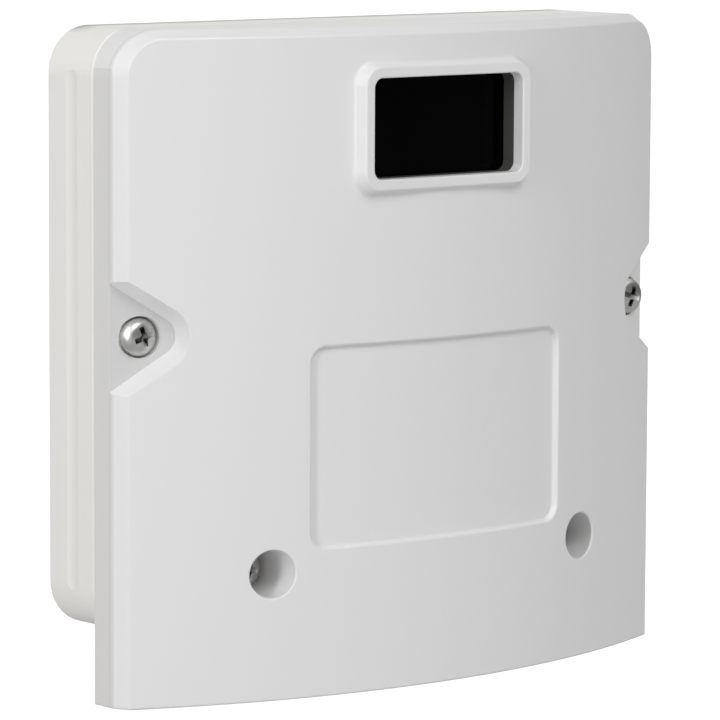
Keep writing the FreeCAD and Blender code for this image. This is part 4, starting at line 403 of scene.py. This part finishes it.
# Runs of copper track on the board's front, as points in millimetres: X, Z.
TRACK_WIDTH = 0.0007
TRACK_THICKNESS = 0.00005
TRACK_RUNS = [
    [(-12.7, -20.5), (-12.7, -4.2), (-16.2, -4.2), (-16.2, -3.0)],
    [(12.7, -20.5), (12.7, -3.6), (16.2, -3.6)],
    [(-23.7, 8.2), (-27.0, 5.0), (-30.4, 5.0), (-30.4, 2.0)],
    [(-18.6, 8.2), (-18.6, 4.0), (-6.0, 4.0), (-6.0, -2.6), (-3.5, -5.1)],
    [(-13.5, 8.2), (-13.5, 6.2), (1.0, 6.2), (4.7, 8.2)],
    [(-8.4, 8.2), (-8.4, 7.2), (0.4, 7.2), (7.2, 8.2)],
    [(-3.3, 8.2), (2.4, 2.5), (20.0, 2.5), (23.6, -6.0)],
    [(-23.7, 15.8), (-27.4, 15.8), (-32.8, 17.2)],
    [(-21.1, 15.8), (-21.1, 17.8), (-32.8, 20.8)],
    [(-18.6, 15.8), (-15.9, 20.3)],
    [(-13.5, 15.8), (-11.1, 20.3)],
    [(-6.0, 15.8), (-6.0, 24.0), (-7.9, 31.0)],
    [(-3.3, 15.8), (-1.0, 19.0), (8.0, 24.0), (8.0, 31.0)],
    [(12.3, 15.8), (16.0, 18.0), (21.6, 18.0)],
    [(9.8, 15.8), (13.0, 20.6), (21.6, 20.6)],
    [(7.2, 8.2), (7.2, 5.0), (17.6, 5.0), (19.4, 11.1), (21.6, 11.1)],
    [(28.5, -7.0), (28.5, -12.0), (35.0, -12.0), (35.2, -15.7)],
    [(24.0, -20.0), (24.0, -14.0), (21.0, -12.0), (20.5, -10.0)],
    [(29.0, -20.0), (29.0, -24.0), (41.7, -24.0), (41.7, -20.3)],
    [(-28.5, -27.0), (-34.0, -22.0), (-40.0, -22.0)],
    [(-23.5, -27.0), (-20.0, -27.0), (-18.0, -24.6), (-12.7, -24.6)],
    [(-40.0, -10.5), (-36.0, -10.5), (-32.5, -13.0)],
    [(-43.8, -0.5), (-43.8, 1.5), (-38.0, 4.0), (-35.6, 2.0)],
    [(-27.5, -13.0), (-24.6, -9.0), (-24.6, -2.5), (-23.5, 2.0)],
]


def tree_input(tree, name, kind, value=None):
    """Named input of a geometry tree; gives back the identifier by which a modifier sets it."""
    socket = tree.interface.new_socket(name=name, in_out="INPUT", socket_type=kind)
    if value is not None:
        socket.default_value = value
    return socket.identifier


def connect(tree, *routes):
    """Link nodes of a tree, each route as (giver, output, taker, input)."""
    for giver, output, taker, entry in routes:
        tree.links.new(giver.outputs[output], taker.inputs[entry])


def new_shape_tree(name):
    """Geometry tree with its own input and output for a mesh."""
    tree = bpy.data.node_groups.new(name, "GeometryNodeTree")
    tree.interface.new_socket(name="Geometry", in_out="INPUT", socket_type="NodeSocketGeometry")
    tree.interface.new_socket(name="Geometry", in_out="OUTPUT", socket_type="NodeSocketGeometry")
    return tree, tree.nodes.new("NodeGroupInput"), tree.nodes.new("NodeGroupOutput")


def grow_shape(name, guide_points, guide_edges, tree, values, body):
    """Run a geometry tree on a guide of points and edges, keep its plain mesh and let it ride on a body."""
    guide = bpy.data.meshes.new(name + "_guide")
    guide.from_pydata(guide_points, guide_edges, [])
    holder = bpy.data.objects.new(name + "_guide", guide)
    scene.collection.objects.link(holder)
    maker = holder.modifiers.new("shape", "NODES")
    maker.node_group = tree
    for identifier, value in values.items():
        maker[identifier] = value
    grown = holder.evaluated_get(bpy.context.evaluated_depsgraph_get())
    mesh = bpy.data.meshes.new_from_object(grown)
    mesh.name = name
    holder.modifiers.remove(maker)
    bpy.data.objects.remove(holder)
    made = bpy.data.objects.new(name, mesh)
    scene.collection.objects.link(made)
    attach(made, body)
    return made


# A flat strip that follows a run: its width lies on the board and its thickness stands out of it.
strip_tree, strip_in, strip_out = new_shape_tree("flat_strip")
strip_width = tree_input(strip_tree, "Width", "NodeSocketFloat", TRACK_WIDTH)
strip_thickness = tree_input(strip_tree, "Thickness", "NodeSocketFloat", TRACK_THICKNESS)
strip_material = tree_input(strip_tree, "Material", "NodeSocketMaterial")
line = strip_tree.nodes.new("GeometryNodeMeshToCurve")
profile = strip_tree.nodes.new("GeometryNodeCurvePrimitiveQuadrilateral")
upright = strip_tree.nodes.new("GeometryNodeSetCurveNormal")
upright.mode = "Z_UP"
sweep = strip_tree.nodes.new("GeometryNodeCurveToMesh")
sweep.inputs["Fill Caps"].default_value = True
merged = strip_tree.nodes.new("GeometryNodeRealizeInstances")
coated = strip_tree.nodes.new("GeometryNodeSetMaterial")
connect(
    strip_tree,
    (strip_in, "Geometry", line, "Mesh"),
    (line, "Curve", upright, "Curve"),
    (upright, "Curve", sweep, "Curve"),
    (strip_in, "Width", profile, "Width"),
    (strip_in, "Thickness", profile, "Height"),
    (profile, "Curve", sweep, "Profile Curve"),
    (sweep, "Mesh", merged, "Geometry"),
    (merged, "Geometry", coated, "Geometry"),
    (strip_in, "Material", coated, "Material"),
    (coated, "Geometry", strip_out, "Geometry"),
)


def lay_flat(mesh, plane):
    """Turn a mesh drawn flat in X and Y so that it lies against the board's front plane."""
    for vertex in mesh.vertices:
        x, along, out = vertex.co
        vertex.co = (x, plane - out, along)
    mesh.flip_normals()


track_points, track_edges = [], []
for run in TRACK_RUNS:
    start = len(track_points)
    track_points += [(x / 1000, z / 1000, 0) for x, z in run]
    track_edges += [(start + i, start + i + 1) for i in range(len(run) - 1)]
track_resist = new_finish(
    "track_resist", (0.045, 0.235, 0.090), (0.055, 0.260, 0.105), roughness=0.26, gloss_range=0.06,
    grain=1400.0, cloud=220.0, relief=0.1,
)
tracks = grow_shape(
    "board_tracks", track_points, track_edges, strip_tree,
    {strip_width: TRACK_WIDTH, strip_thickness: TRACK_THICKNESS, strip_material: track_resist}, "housing",
)
lay_flat(tracks.data, BOARD_FRONT)

# Printed outlines: a thin white ink line round the foot of each larger part, screen-printed on the resist.
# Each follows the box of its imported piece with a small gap.
PRINT_WIDTH = 0.00022
PRINT_THICKNESS = 0.00003
PRINT_GAP = 0.0006
outlined = [
    "relay_left", "relay_right", "terminal_block", "microcontroller", "memory_chip", "crystal",
    "radio_board", "learn_button_base", "jumper_header", "filter_capacitor", "output_capacitor",
    "regulator_tab",
]
print_points, print_edges = [], []
for piece in outlined:
    low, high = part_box(piece)
    x0, x1 = low.x - PRINT_GAP, high.x + PRINT_GAP
    z0, z1 = low.z - PRINT_GAP, high.z + PRINT_GAP
    start = len(print_points)
    print_points += [(x0, z0, 0), (x1, z0, 0), (x1, z1, 0), (x0, z1, 0)]
    print_edges += [(start, start + 1), (start + 1, start + 2), (start + 2, start + 3), (start + 3, start)]
print_ink = new_finish(
    "print_ink", (0.72, 0.73, 0.70), (0.58, 0.60, 0.56), roughness=0.55, gloss_range=0.08, grain=2600.0,
    cloud=420.0, relief=0.2,
)
outlines = grow_shape(
    "board_outlines", print_points, print_edges, strip_tree,
    {strip_width: PRINT_WIDTH, strip_thickness: PRINT_THICKNESS, strip_material: print_ink}, "housing",
)
lay_flat(outlines.data, BOARD_FRONT - PRINT_THICKNESS)

# Solder joints: a small bright cone of tin round every lead behind the board, from a solder wave.
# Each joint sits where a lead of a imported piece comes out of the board.
SOLDER_FOOT = 0.00095
SOLDER_TIP = 0.00038
SOLDER_HEIGHT = 0.0009
SOLDER_SIDES = 12
SOLDER_RINGS = 3
SOLDER_SEED = 7
SOLDER_LEAST_SIZE = (0.9, 0.8, 0.9)
SOLDER_MOST_SIZE = (1.1, 1.05, 1.1)
LEAD_TAIL = 0.001
JOINT_REACH = 0.0012
leaded = [
    "relay_left", "relay_right", "terminal_contacts", "microcontroller", "memory_chip", "crystal",
    "radio_pins", "learn_button_base", "jumper_pins", "power_led", "signal_led", "voltage_regulator",
    "filter_capacitor", "output_capacitor", "rectifier_diodes", "surge_varistor", "driver_transistors",
    "resistors",
]
joint_places = []
for piece in leaded:
    found = []
    for vertex in nodes[piece].data.vertices:
        if vertex.co.y < BOARD_BACK + LEAD_TAIL:
            continue
        for group in found:
            if math.hypot(group[0].x - vertex.co.x, group[0].z - vertex.co.z) < JOINT_REACH:
                group.append(vertex.co.copy())
                break
        else:
            found.append([vertex.co.copy()])
    for group in found:
        low = Vector([min(v[i] for v in group) for i in range(3)])
        high = Vector([max(v[i] for v in group) for i in range(3)])
        joint_places.append(((low.x + high.x) / 2, BOARD_BACK, (low.z + high.z) / 2))
solder_tree, solder_in, solder_out = new_shape_tree("solder_cones")
foot_input = tree_input(solder_tree, "Foot Radius", "NodeSocketFloat", SOLDER_FOOT)
tip_input = tree_input(solder_tree, "Tip Radius", "NodeSocketFloat", SOLDER_TIP)
height_input = tree_input(solder_tree, "Height", "NodeSocketFloat", SOLDER_HEIGHT)
seed_input = tree_input(solder_tree, "Seed", "NodeSocketInt", SOLDER_SEED)
solder_material = tree_input(solder_tree, "Material", "NodeSocketMaterial")
cone = solder_tree.nodes.new("GeometryNodeMeshCone")
cone.inputs["Vertices"].default_value = SOLDER_SIDES
cone.inputs["Side Segments"].default_value = SOLDER_RINGS
centred = solder_tree.nodes.new("GeometryNodeTransform")
centred.inputs["Translation"].default_value = (0, SOLDER_HEIGHT / 2, 0)
centred.inputs["Rotation"].default_value = (math.pi / 2, 0, 0)
spots = solder_tree.nodes.new("GeometryNodeMeshToPoints")
copies = solder_tree.nodes.new("GeometryNodeInstanceOnPoints")
sizes = solder_tree.nodes.new("FunctionNodeRandomValue")
sizes.data_type = "FLOAT_VECTOR"
sizes.inputs[0].default_value = SOLDER_LEAST_SIZE
sizes.inputs[1].default_value = SOLDER_MOST_SIZE
solid_cones = solder_tree.nodes.new("GeometryNodeRealizeInstances")
tinned = solder_tree.nodes.new("GeometryNodeSetMaterial")
connect(
    solder_tree,
    (solder_in, "Foot Radius", cone, "Radius Bottom"),
    (solder_in, "Tip Radius", cone, "Radius Top"),
    (solder_in, "Height", cone, "Depth"),
    (cone, "Mesh", centred, "Geometry"),
    (centred, "Geometry", copies, "Instance"),
    (solder_in, "Geometry", spots, "Mesh"),
    (spots, "Points", copies, "Points"),
    (solder_in, "Seed", sizes, "Seed"),
    (sizes, 0, copies, "Scale"),
    (copies, "Instances", solid_cones, "Geometry"),
    (solid_cones, "Geometry", tinned, "Geometry"),
    (solder_in, "Material", tinned, "Material"),
    (tinned, "Geometry", solder_out, "Geometry"),
)
solder_tin = new_finish(
    "solder_tin", (0.72, 0.72, 0.71), (0.60, 0.60, 0.59), roughness=0.24, gloss_range=0.08,
    grain=2400.0, cloud=700.0, relief=0.3, metallic=1.0,
)
joints = grow_shape(
    "solder_joints", joint_places, [], solder_tree,
    {
        foot_input: SOLDER_FOOT, tip_input: SOLDER_TIP, height_input: SOLDER_HEIGHT,
        seed_input: SOLDER_SEED, solder_material: solder_tin,
    },
    "housing",
)

# Board screws: four short pan-head screws with cross recesses, in the same zinc plate as the cover's.
# They hold the board on its standoffs; their crests are rubbed, and their recesses are painted dark as
# shade, with dirt.
zinc_plate = new_finish(
    "zinc_plate", (0.62, 0.62, 0.60), (0.50, 0.505, 0.49), roughness=0.33, gloss_range=0.05,
    grain=3200.0, cloud=620.0, relief=0.15, relief_depth=0.00003, metallic=1.0,
    rubbed=(0.82, 0.82, 0.80), rubbed_share=0.5, dirt_and_shade=(0.018, 0.019, 0.017), dirt_and_shade_share=0.98,
    edge=0.00015, reach=0.0020,
)
dress(zinc_plate, "board_screws")

# Terminal block: a green moulded housing with six square chambers and a bevelled upper edge, soldered down.
# Tinned contact bars pass through plated brass cages, and each slotted screw pulls its cage up on the wire.
TERMINAL_COUNT = 6
# The darker corner colour is a painted shade with dirt, laid in its chambers and corners where they are
# occluded.
terminal_plastic = new_finish(
    "terminal_plastic", (0.055, 0.285, 0.110), (0.048, 0.250, 0.096), roughness=0.38, gloss_range=0.06,
    grain=1600.0, cloud=140.0, relief=0.12, rubbed=(0.16, 0.42, 0.22), rubbed_share=0.6,
    dirt_and_shade=(0.02, 0.10, 0.04), dirt_and_shade_share=0.5,
)
dress(terminal_plastic, "terminal_block")
# The darker corner colour is a painted shade with dirt, laid where its parts are occluded.
tin_plate = new_finish(
    "tin_plate", (0.66, 0.66, 0.64), (0.55, 0.55, 0.53), roughness=0.32, gloss_range=0.10, grain=2200.0,
    cloud=260.0, relief=0.15, metallic=1.0, rubbed=(0.78, 0.78, 0.76), rubbed_share=0.5,
    dirt_and_shade=(0.20, 0.19, 0.17), dirt_and_shade_share=0.5, edge=0.0001, reach=0.0012,
)
dress(tin_plate, "terminal_contacts")
cage_plate = new_finish(
    "cage_plate", (0.66, 0.60, 0.46), (0.56, 0.51, 0.39), roughness=0.28, gloss_range=0.08,
    grain=2600.0, cloud=480.0, relief=0.15, metallic=1.0, rubbed=(0.80, 0.74, 0.58), rubbed_share=0.6,
    edge=0.0001, reach=0.001,
)
for number in range(1, TERMINAL_COUNT + 1):
    dress(zinc_plate, "terminal_screw_" + str(number))
    dress(cage_plate, "terminal_clamp_" + str(number))

# Relays: two sealed black boxes with rounded lids on small feet, with five pins each.
# The case is satin plastic; the pins that pass through the board are tinned.
LEAD_TIN = (0.66, 0.66, 0.64)
LEAD_ROUGHNESS = 0.3


def tin_leads(made, mask):
    """Show a piece as tinned wire where the mask is 1."""
    overlay(made, mask, LEAD_TIN, roughness=LEAD_ROUGHNESS, metallic=1.0)


def tin_behind(made, plane):
    """Show a piece as tinned wire wherever it lies behind this depth."""
    tree = made.node_tree
    tin_leads(made, add_math(tree, "GREATER_THAN", object_axis(tree, "Y"), plane))


relay_plastic = new_finish(
    "relay_plastic", (0.030, 0.030, 0.034), (0.040, 0.040, 0.045), roughness=0.33, gloss_range=0.07,
    grain=1500.0, cloud=150.0, relief=0.15, rubbed=(0.11, 0.11, 0.12), rubbed_share=0.7,
    dirt_and_shade=(0.07, 0.065, 0.055), dirt_and_shade_share=0.3,
)
tin_behind(relay_plastic, BOARD_FRONT)
dress(relay_plastic, "relay_left", "relay_right")

# Microcontroller, memory and crystal: two blocks of matt black resin on rows of tinned legs, each with a
# half-round notch at one end, and a low tinned can. What lies outside the width of the resin is leg.
CHIP_HALF_WIDTH = 0.0031
band_tree, band_in, band_out = new_group(
    "band", [("Value", 0.0), ("Centre", 0.0), ("Half Width", 0.001)], ["Mask"]
)
off_centre = add_math(band_tree, "SUBTRACT", band_in.outputs["Value"], band_in.outputs["Centre"])
off_centre = add_math(band_tree, "ABSOLUTE", off_centre)
within = add_math(band_tree, "LESS_THAN", off_centre, band_in.outputs["Half Width"])
feed(band_tree, band_out.inputs["Mask"], within)


def in_band(tree, value, centre, half_width):
    """Mask that is 1 where the value lies within the half width of the centre."""
    return use_group(tree, band_tree, Value=value, Centre=centre, Half_Width=half_width).outputs["Mask"]


chip_resin = new_finish(
    "chip_resin", (0.026, 0.026, 0.028), (0.036, 0.036, 0.038), roughness=0.62, gloss_range=0.08,
    grain=2600.0, cloud=320.0, relief=0.35, rubbed=(0.09, 0.09, 0.09), rubbed_share=0.5,
)
chip_tree = chip_resin.node_tree
chip_low, chip_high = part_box("microcontroller")
in_resin = in_band(chip_tree, object_axis(chip_tree, "Z"), (chip_low.z + chip_high.z) / 2, CHIP_HALF_WIDTH)
tin_leads(chip_resin, add_math(chip_tree, "SUBTRACT", 1.0, in_resin))
dress(chip_resin, "microcontroller", "memory_chip")
dress(tin_plate, "crystal")

# Radio module: a small blue board on a black pin strip, with a tinned shield can over its circuit.
# A coil of enamelled copper stands beside it as the antenna, its tail soldered into the module.
COPPER_COAT = 0.6
radio_laminate = new_finish(
    "radio_laminate", (0.015, 0.060, 0.190), (0.020, 0.080, 0.230), roughness=0.28, gloss_range=0.07,
    grain=1500.0, cloud=240.0, relief=0.12, rubbed=(0.42, 0.40, 0.30), rubbed_share=0.8,
)
dress(radio_laminate, "radio_board")
dress(tin_plate, "radio_can")
black_nylon = new_finish(
    "black_nylon", (0.022, 0.022, 0.022), (0.032, 0.032, 0.032), roughness=0.45, gloss_range=0.08,
    grain=1900.0, cloud=300.0, relief=0.2, rubbed=(0.09, 0.09, 0.09), rubbed_share=0.6,
)
dress(black_nylon, "radio_header")
gold_flash = new_finish(
    "gold_flash", (0.78, 0.56, 0.22), (0.70, 0.50, 0.20), roughness=0.22, gloss_range=0.06,
    grain=2600.0, cloud=500.0, relief=0.1, metallic=1.0, rubbed=(0.86, 0.68, 0.34), rubbed_share=0.4,
    edge=0.00008, reach=0.001,
)
dress(gold_flash, "radio_pins")
copper_enamel = new_finish(
    "copper_enamel", (0.60, 0.23, 0.095), (0.50, 0.17, 0.065), roughness=0.20, gloss_range=0.06,
    grain=2200.0, cloud=380.0, relief=0.12, metallic=1.0,
)
copper_enamel.node_tree.nodes["Principled BSDF"].inputs["Coat Weight"].default_value = COPPER_COAT
dress(copper_enamel, "antenna_coil")

# Learn button: a round black plunger in a square case of tinned sheet, soldered to the board by four legs.
# The plunger is moulded nylon and stands proud of the case.
dress(tin_plate, "learn_button_base")
dress(black_nylon, "learn_button")

# Mode jumper: a small red nylon cap, pushed on the first two of three gold-flashed pins in a black strip.
# Its moulded edges are rubbed pale.
jumper_red = new_finish(
    "jumper_red", (0.46, 0.022, 0.018), (0.40, 0.018, 0.016), roughness=0.36, gloss_range=0.06,
    grain=1900.0, cloud=420.0, relief=0.15, rubbed=(0.62, 0.12, 0.10), rubbed_share=0.6,
)
dress(jumper_red, "jumper_cap")
dress(black_nylon, "jumper_header")
dress(gold_flash, "jumper_pins")

# Lamps: a green and a red round lamp on black collars, held up close behind the smoked window.
# The epoxy is tinted and diffused; the two wires behind its flange are tinned steel.
LAMP_BASE = -0.0189
LAMP_BASE_MARGIN = 0.00002
LAMP_COLOURS = {"power_led": (0.045, 0.42, 0.08), "signal_led": (0.52, 0.025, 0.02)}
LAMP_SHADE = 0.8
EPOXY_SCATTER = 0.25
EPOXY_SCATTER_REACH = (0.002, 0.002, 0.002)
for piece, colour in LAMP_COLOURS.items():
    deep = tuple(LAMP_SHADE * share for share in colour)
    epoxy = new_finish(
        piece + "_epoxy", colour, deep, roughness=0.16, gloss_range=0.04, grain=1500.0, cloud=400.0,
        relief=0.05,
    )
    epoxy_shader = epoxy.node_tree.nodes["Principled BSDF"]
    epoxy_shader.inputs["Subsurface Weight"].default_value = EPOXY_SCATTER
    epoxy_shader.inputs["Subsurface Radius"].default_value = EPOXY_SCATTER_REACH
    tin_behind(epoxy, LAMP_BASE + LAMP_BASE_MARGIN)
    dress(epoxy, piece)
dress(black_nylon, "led_spacers")

# Voltage regulator: a block of matt black resin moulded on a tinned heat tab, on three tinned legs.
# The tab reaches past the resin and has a screw hole.
REGULATOR_STAND = 0.0015
regulator_resin = new_finish(
    "regulator_resin", (0.026, 0.026, 0.028), (0.034, 0.034, 0.036), roughness=0.6, gloss_range=0.08,
    grain=2600.0, cloud=320.0, relief=0.35, rubbed=(0.09, 0.09, 0.09), rubbed_share=0.5,
)
tin_behind(regulator_resin, BOARD_FRONT - REGULATOR_STAND)
dress(regulator_resin, "voltage_regulator")
dress(tin_plate, "regulator_tab")

# Capacitors: two round cans in dark blue shrunk sleeves, each on two tinned wires.
# A pale stripe runs down one side of the sleeve, and the bare metal top has a pressed cross, drawn as the
# painted shade of its grooves.
SLEEVE_STRIPE_START = 0.80
SLEEVE_STRIPE = (0.62, 0.63, 0.66)
CAN_TOP_RADIUS = 0.80
CAN_TOP_DEPTH = 0.0003
CAN_METAL = (0.62, 0.62, 0.61)
CROSS_HALF_WIDTH = 0.05
CROSS_GROOVE_SHADE = (0.16, 0.16, 0.16)


def capacitor_finish(piece):
    """Sleeve, stripe, bare top with its cross, and wires, placed by the box of this capacitor."""
    low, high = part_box(piece)
    radius = (high.x - low.x) / 2
    made = new_finish(
        piece + "_sleeve", (0.020, 0.030, 0.085), (0.026, 0.038, 0.100), roughness=0.25,
        gloss_range=0.05, grain=1200.0, cloud=240.0, relief=0.08, rubbed=(0.09, 0.10, 0.18),
        rubbed_share=0.4,
    )
    tree = made.node_tree
    off_x = add_math(tree, "SUBTRACT", object_axis(tree, "X"), (low.x + high.x) / 2)
    off_z = add_math(tree, "SUBTRACT", object_axis(tree, "Z"), (low.z + high.z) / 2)
    stripe = add_math(tree, "GREATER_THAN", off_x, radius * SLEEVE_STRIPE_START)
    overlay(made, stripe, SLEEVE_STRIPE, roughness=0.35)
    squares = [add_math(tree, "MULTIPLY", offset, offset) for offset in (off_x, off_z)]
    distance = add_math(tree, "POWER", add_math(tree, "ADD", *squares), 0.5)
    inside_rim = add_math(tree, "LESS_THAN", distance, radius * CAN_TOP_RADIUS)
    on_top = add_math(tree, "LESS_THAN", object_axis(tree, "Y"), low.y + CAN_TOP_DEPTH)
    bare = add_math(tree, "MULTIPLY", on_top, inside_rim)
    overlay(made, bare, CAN_METAL, roughness=0.34, metallic=1.0)
    arms = [
        add_math(tree, "LESS_THAN", add_math(tree, "ABSOLUTE", offset), radius * CROSS_HALF_WIDTH)
        for offset in (off_x, off_z)
    ]
    cross = add_math(tree, "MULTIPLY", add_math(tree, "MAXIMUM", *arms), bare)
    overlay(made, cross, CROSS_GROOVE_SHADE, roughness=0.5, metallic=1.0)
    tin_behind(made, BOARD_FRONT)
    return made


for piece in ("filter_capacitor", "output_capacitor"):
    dress(capacitor_finish(piece), piece)

# Rectifier diodes: four black resin barrels with a pale ring near one end, laid along Z in two rows of two.
# Their tinned wires are bent down into the board on both sides.
DIODE_HALF = 0.0026
DIODE_MARK_SHIFT = 0.0017
DIODE_MARK_HALF = 0.0004
DIODE_MIDDLES = (-0.018, -0.0055)
DIODE_MARK_TONE = (0.60, 0.60, 0.59)
diode_resin = new_finish(
    "diode_resin", (0.024, 0.024, 0.025), (0.034, 0.034, 0.035), roughness=0.42, gloss_range=0.06,
    grain=2200.0, cloud=500.0, relief=0.2, rubbed=(0.09, 0.09, 0.09), rubbed_share=0.4,
)
diode_tree = diode_resin.node_tree
along_diode = object_axis(diode_tree, "Z")
marks = [in_band(diode_tree, along_diode, z + DIODE_MARK_SHIFT, DIODE_MARK_HALF) for z in DIODE_MIDDLES]
barrels = [in_band(diode_tree, along_diode, z, DIODE_HALF) for z in DIODE_MIDDLES]
overlay(diode_resin, add_math(diode_tree, "MAXIMUM", *marks), DIODE_MARK_TONE, roughness=0.4)
tin_leads(diode_resin, add_math(diode_tree, "SUBTRACT", 1.0, add_math(diode_tree, "MAXIMUM", *barrels)))
dress(diode_resin, "rectifier_diodes")

# Surge disc: a ceramic disc dipped in thick blue lacquer, standing on two tinned wires.
# The dipped skin is glossy and slightly uneven.
SURGE_STAND = 0.0009
surge_lacquer = new_finish(
    "surge_lacquer", (0.020, 0.085, 0.300), (0.026, 0.105, 0.340), roughness=0.24, gloss_range=0.06,
    grain=600.0, cloud=300.0, relief=0.3, relief_depth=0.0001, rubbed=(0.10, 0.20, 0.45),
    rubbed_share=0.3,
)
tin_behind(surge_lacquer, BOARD_FRONT - SURGE_STAND)
dress(surge_lacquer, "surge_varistor")

# Driver transistors: two black half-round resin bodies, each on three tinned legs.
# They switch the relays and stand a little above the board.
TRANSISTOR_STAND = 0.002
transistor_resin = new_finish(
    "transistor_resin", (0.026, 0.026, 0.028), (0.034, 0.034, 0.036), roughness=0.5, gloss_range=0.08,
    grain=2600.0, cloud=420.0, relief=0.3, rubbed=(0.09, 0.09, 0.09), rubbed_share=0.5,
)
tin_behind(transistor_resin, BOARD_FRONT - TRANSISTOR_STAND)
dress(transistor_resin, "driver_transistors")

# Resistors: five lacquered barrels that lie across the board, with tinned wires on both sides.
# Four plain colour rings go round each barrel.
RESISTOR_MIDDLE = -0.038
RESISTOR_HALF = 0.00315
RESISTOR_BANDS = [
    (-0.0022, (0.28, 0.10, 0.03)), (-0.0011, (0.02, 0.02, 0.02)),
    (0.0, (0.50, 0.03, 0.02)), (0.0019, (0.55, 0.38, 0.10)),
]
RESISTOR_BAND_HALF = 0.00028
resistor_lacquer = new_finish(
    "resistor_lacquer", (0.56, 0.42, 0.24), (0.50, 0.37, 0.20), roughness=0.34, gloss_range=0.06,
    grain=1500.0, cloud=500.0, relief=0.15,
)
resistor_tree = resistor_lacquer.node_tree
along_resistor = object_axis(resistor_tree, "X")
for shift, colour in RESISTOR_BANDS:
    ring = in_band(resistor_tree, along_resistor, RESISTOR_MIDDLE + shift, RESISTOR_BAND_HALF)
    overlay(resistor_lacquer, ring, colour)
on_barrel = in_band(resistor_tree, along_resistor, RESISTOR_MIDDLE, RESISTOR_HALF)
tin_leads(resistor_lacquer, add_math(resistor_tree, "SUBTRACT", 1.0, on_barrel))
dress(resistor_lacquer, "resistors")

# Window lens: a smoked, nearly black tray behind the window, staked to the cover by an ear on each side.
# Its floor has a high gloss with the faintest moulding waves; the walls of the tray are satin, and painted
# paler as painted light.
LENS_FLOOR_FRONT = -0.0301
LENS_FLOOR_MARGIN = 0.00005
LENS_WALL_PAINTED_LIGHT = (0.072, 0.072, 0.069)
LENS_WALL_ROUGHNESS = 0.40
LENS_SPECULAR = 0.03
smoked_gloss = new_finish(
    "smoked_gloss", (0.0004, 0.0004, 0.0005), (0.0009, 0.0009, 0.0010), roughness=0.14,
    gloss_range=0.03, grain=300.0, cloud=90.0, relief=0.03,
)
lens_tree = smoked_gloss.node_tree
lens_tree.nodes["Principled BSDF"].inputs["Specular IOR Level"].default_value = LENS_SPECULAR
lens_depth = object_axis(lens_tree, "Y")
lens_wall = add_math(lens_tree, "LESS_THAN", lens_depth, LENS_FLOOR_FRONT - LENS_FLOOR_MARGIN)
overlay(smoked_gloss, lens_wall, LENS_WALL_PAINTED_LIGHT, LENS_WALL_ROUGHNESS)
dress(smoked_gloss, "window_lens")

# Front cover: the bowed shell in cool white plastic, with satin chamfers and a fine moulded grain.
# The window rim, the bare label field, the notches and the wells are moulded in; four screws hold it on.
COVER_WHITE = (0.838, 0.832, 0.832)
COVER_SHADE = (0.830, 0.823, 0.823)
FLANK_PAINTED_SHADE = (0.755, 0.748, 0.742)
FLANK_ROUGHNESS = 0.42
FLANK_MARGIN = 0.00015
NOTCH_FLOOR_EDGE = -0.01767
NOTCH_FLOOR_SLOPE = 0.38
NOTCH_FLOOR_INNER = 0.045
NOTCH_FLOOR_HALF = 0.0001
NOTCH_FLOOR_PAINTED_SHADE = (0.665, 0.663, 0.663)
NOTCH_FLOOR_ROUGHNESS = 0.5
# The corner colour is a painted shade with dirt, laid darker in the cover's recesses and corners where they
# are occluded.
cover_plastic = new_finish(
    "cover_plastic", COVER_WHITE, COVER_SHADE, roughness=0.31, gloss_range=0.02, grain=2200.0,
    cloud=12.0, relief=0.05, rubbed=(0.88, 0.88, 0.88), rubbed_share=0.4, dirt_and_shade=(0.46, 0.46, 0.455),
    dirt_and_shade_share=0.30, reach=0.0014,
)
# A painted shade makes the two upright side faces a little darker than the front.
cover_tree = cover_plastic.node_tree
cover_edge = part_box("front_cover")[1].x
across = object_axis(cover_tree, "X")
from_middle = add_math(cover_tree, "ABSOLUTE", across)
shaded_flank = add_math(cover_tree, "GREATER_THAN", from_middle, cover_edge - FLANK_MARGIN)
overlay(cover_plastic, shaded_flank, FLANK_PAINTED_SHADE, FLANK_ROUGHNESS)
# A painted shade makes the sloping floor of the left notch darker still.
past_edge = add_math(cover_tree, "SUBTRACT", from_middle, cover_edge)
floor_depth = add_math(cover_tree, "MULTIPLY_ADD", past_edge, NOTCH_FLOOR_SLOPE, NOTCH_FLOOR_EDGE)
on_floor = in_band(cover_tree, object_axis(cover_tree, "Y"), floor_depth, NOTCH_FLOOR_HALF)
near_side = add_math(cover_tree, "LESS_THAN", across, -NOTCH_FLOOR_INNER)
shaded_notch_floor = add_math(cover_tree, "MULTIPLY", on_floor, near_side)
overlay(cover_plastic, shaded_notch_floor, NOTCH_FLOOR_PAINTED_SHADE, NOTCH_FLOOR_ROUGHNESS)
dress(cover_plastic, "front_cover")

# Cover screws: four zinc-plated pan heads with cross recesses, two in the side notches, two in the wells.
# They share the board screws' finish.
dress(zinc_plate, "side_screw_left", "side_screw_right", "lower_screw_left", "lower_screw_right")
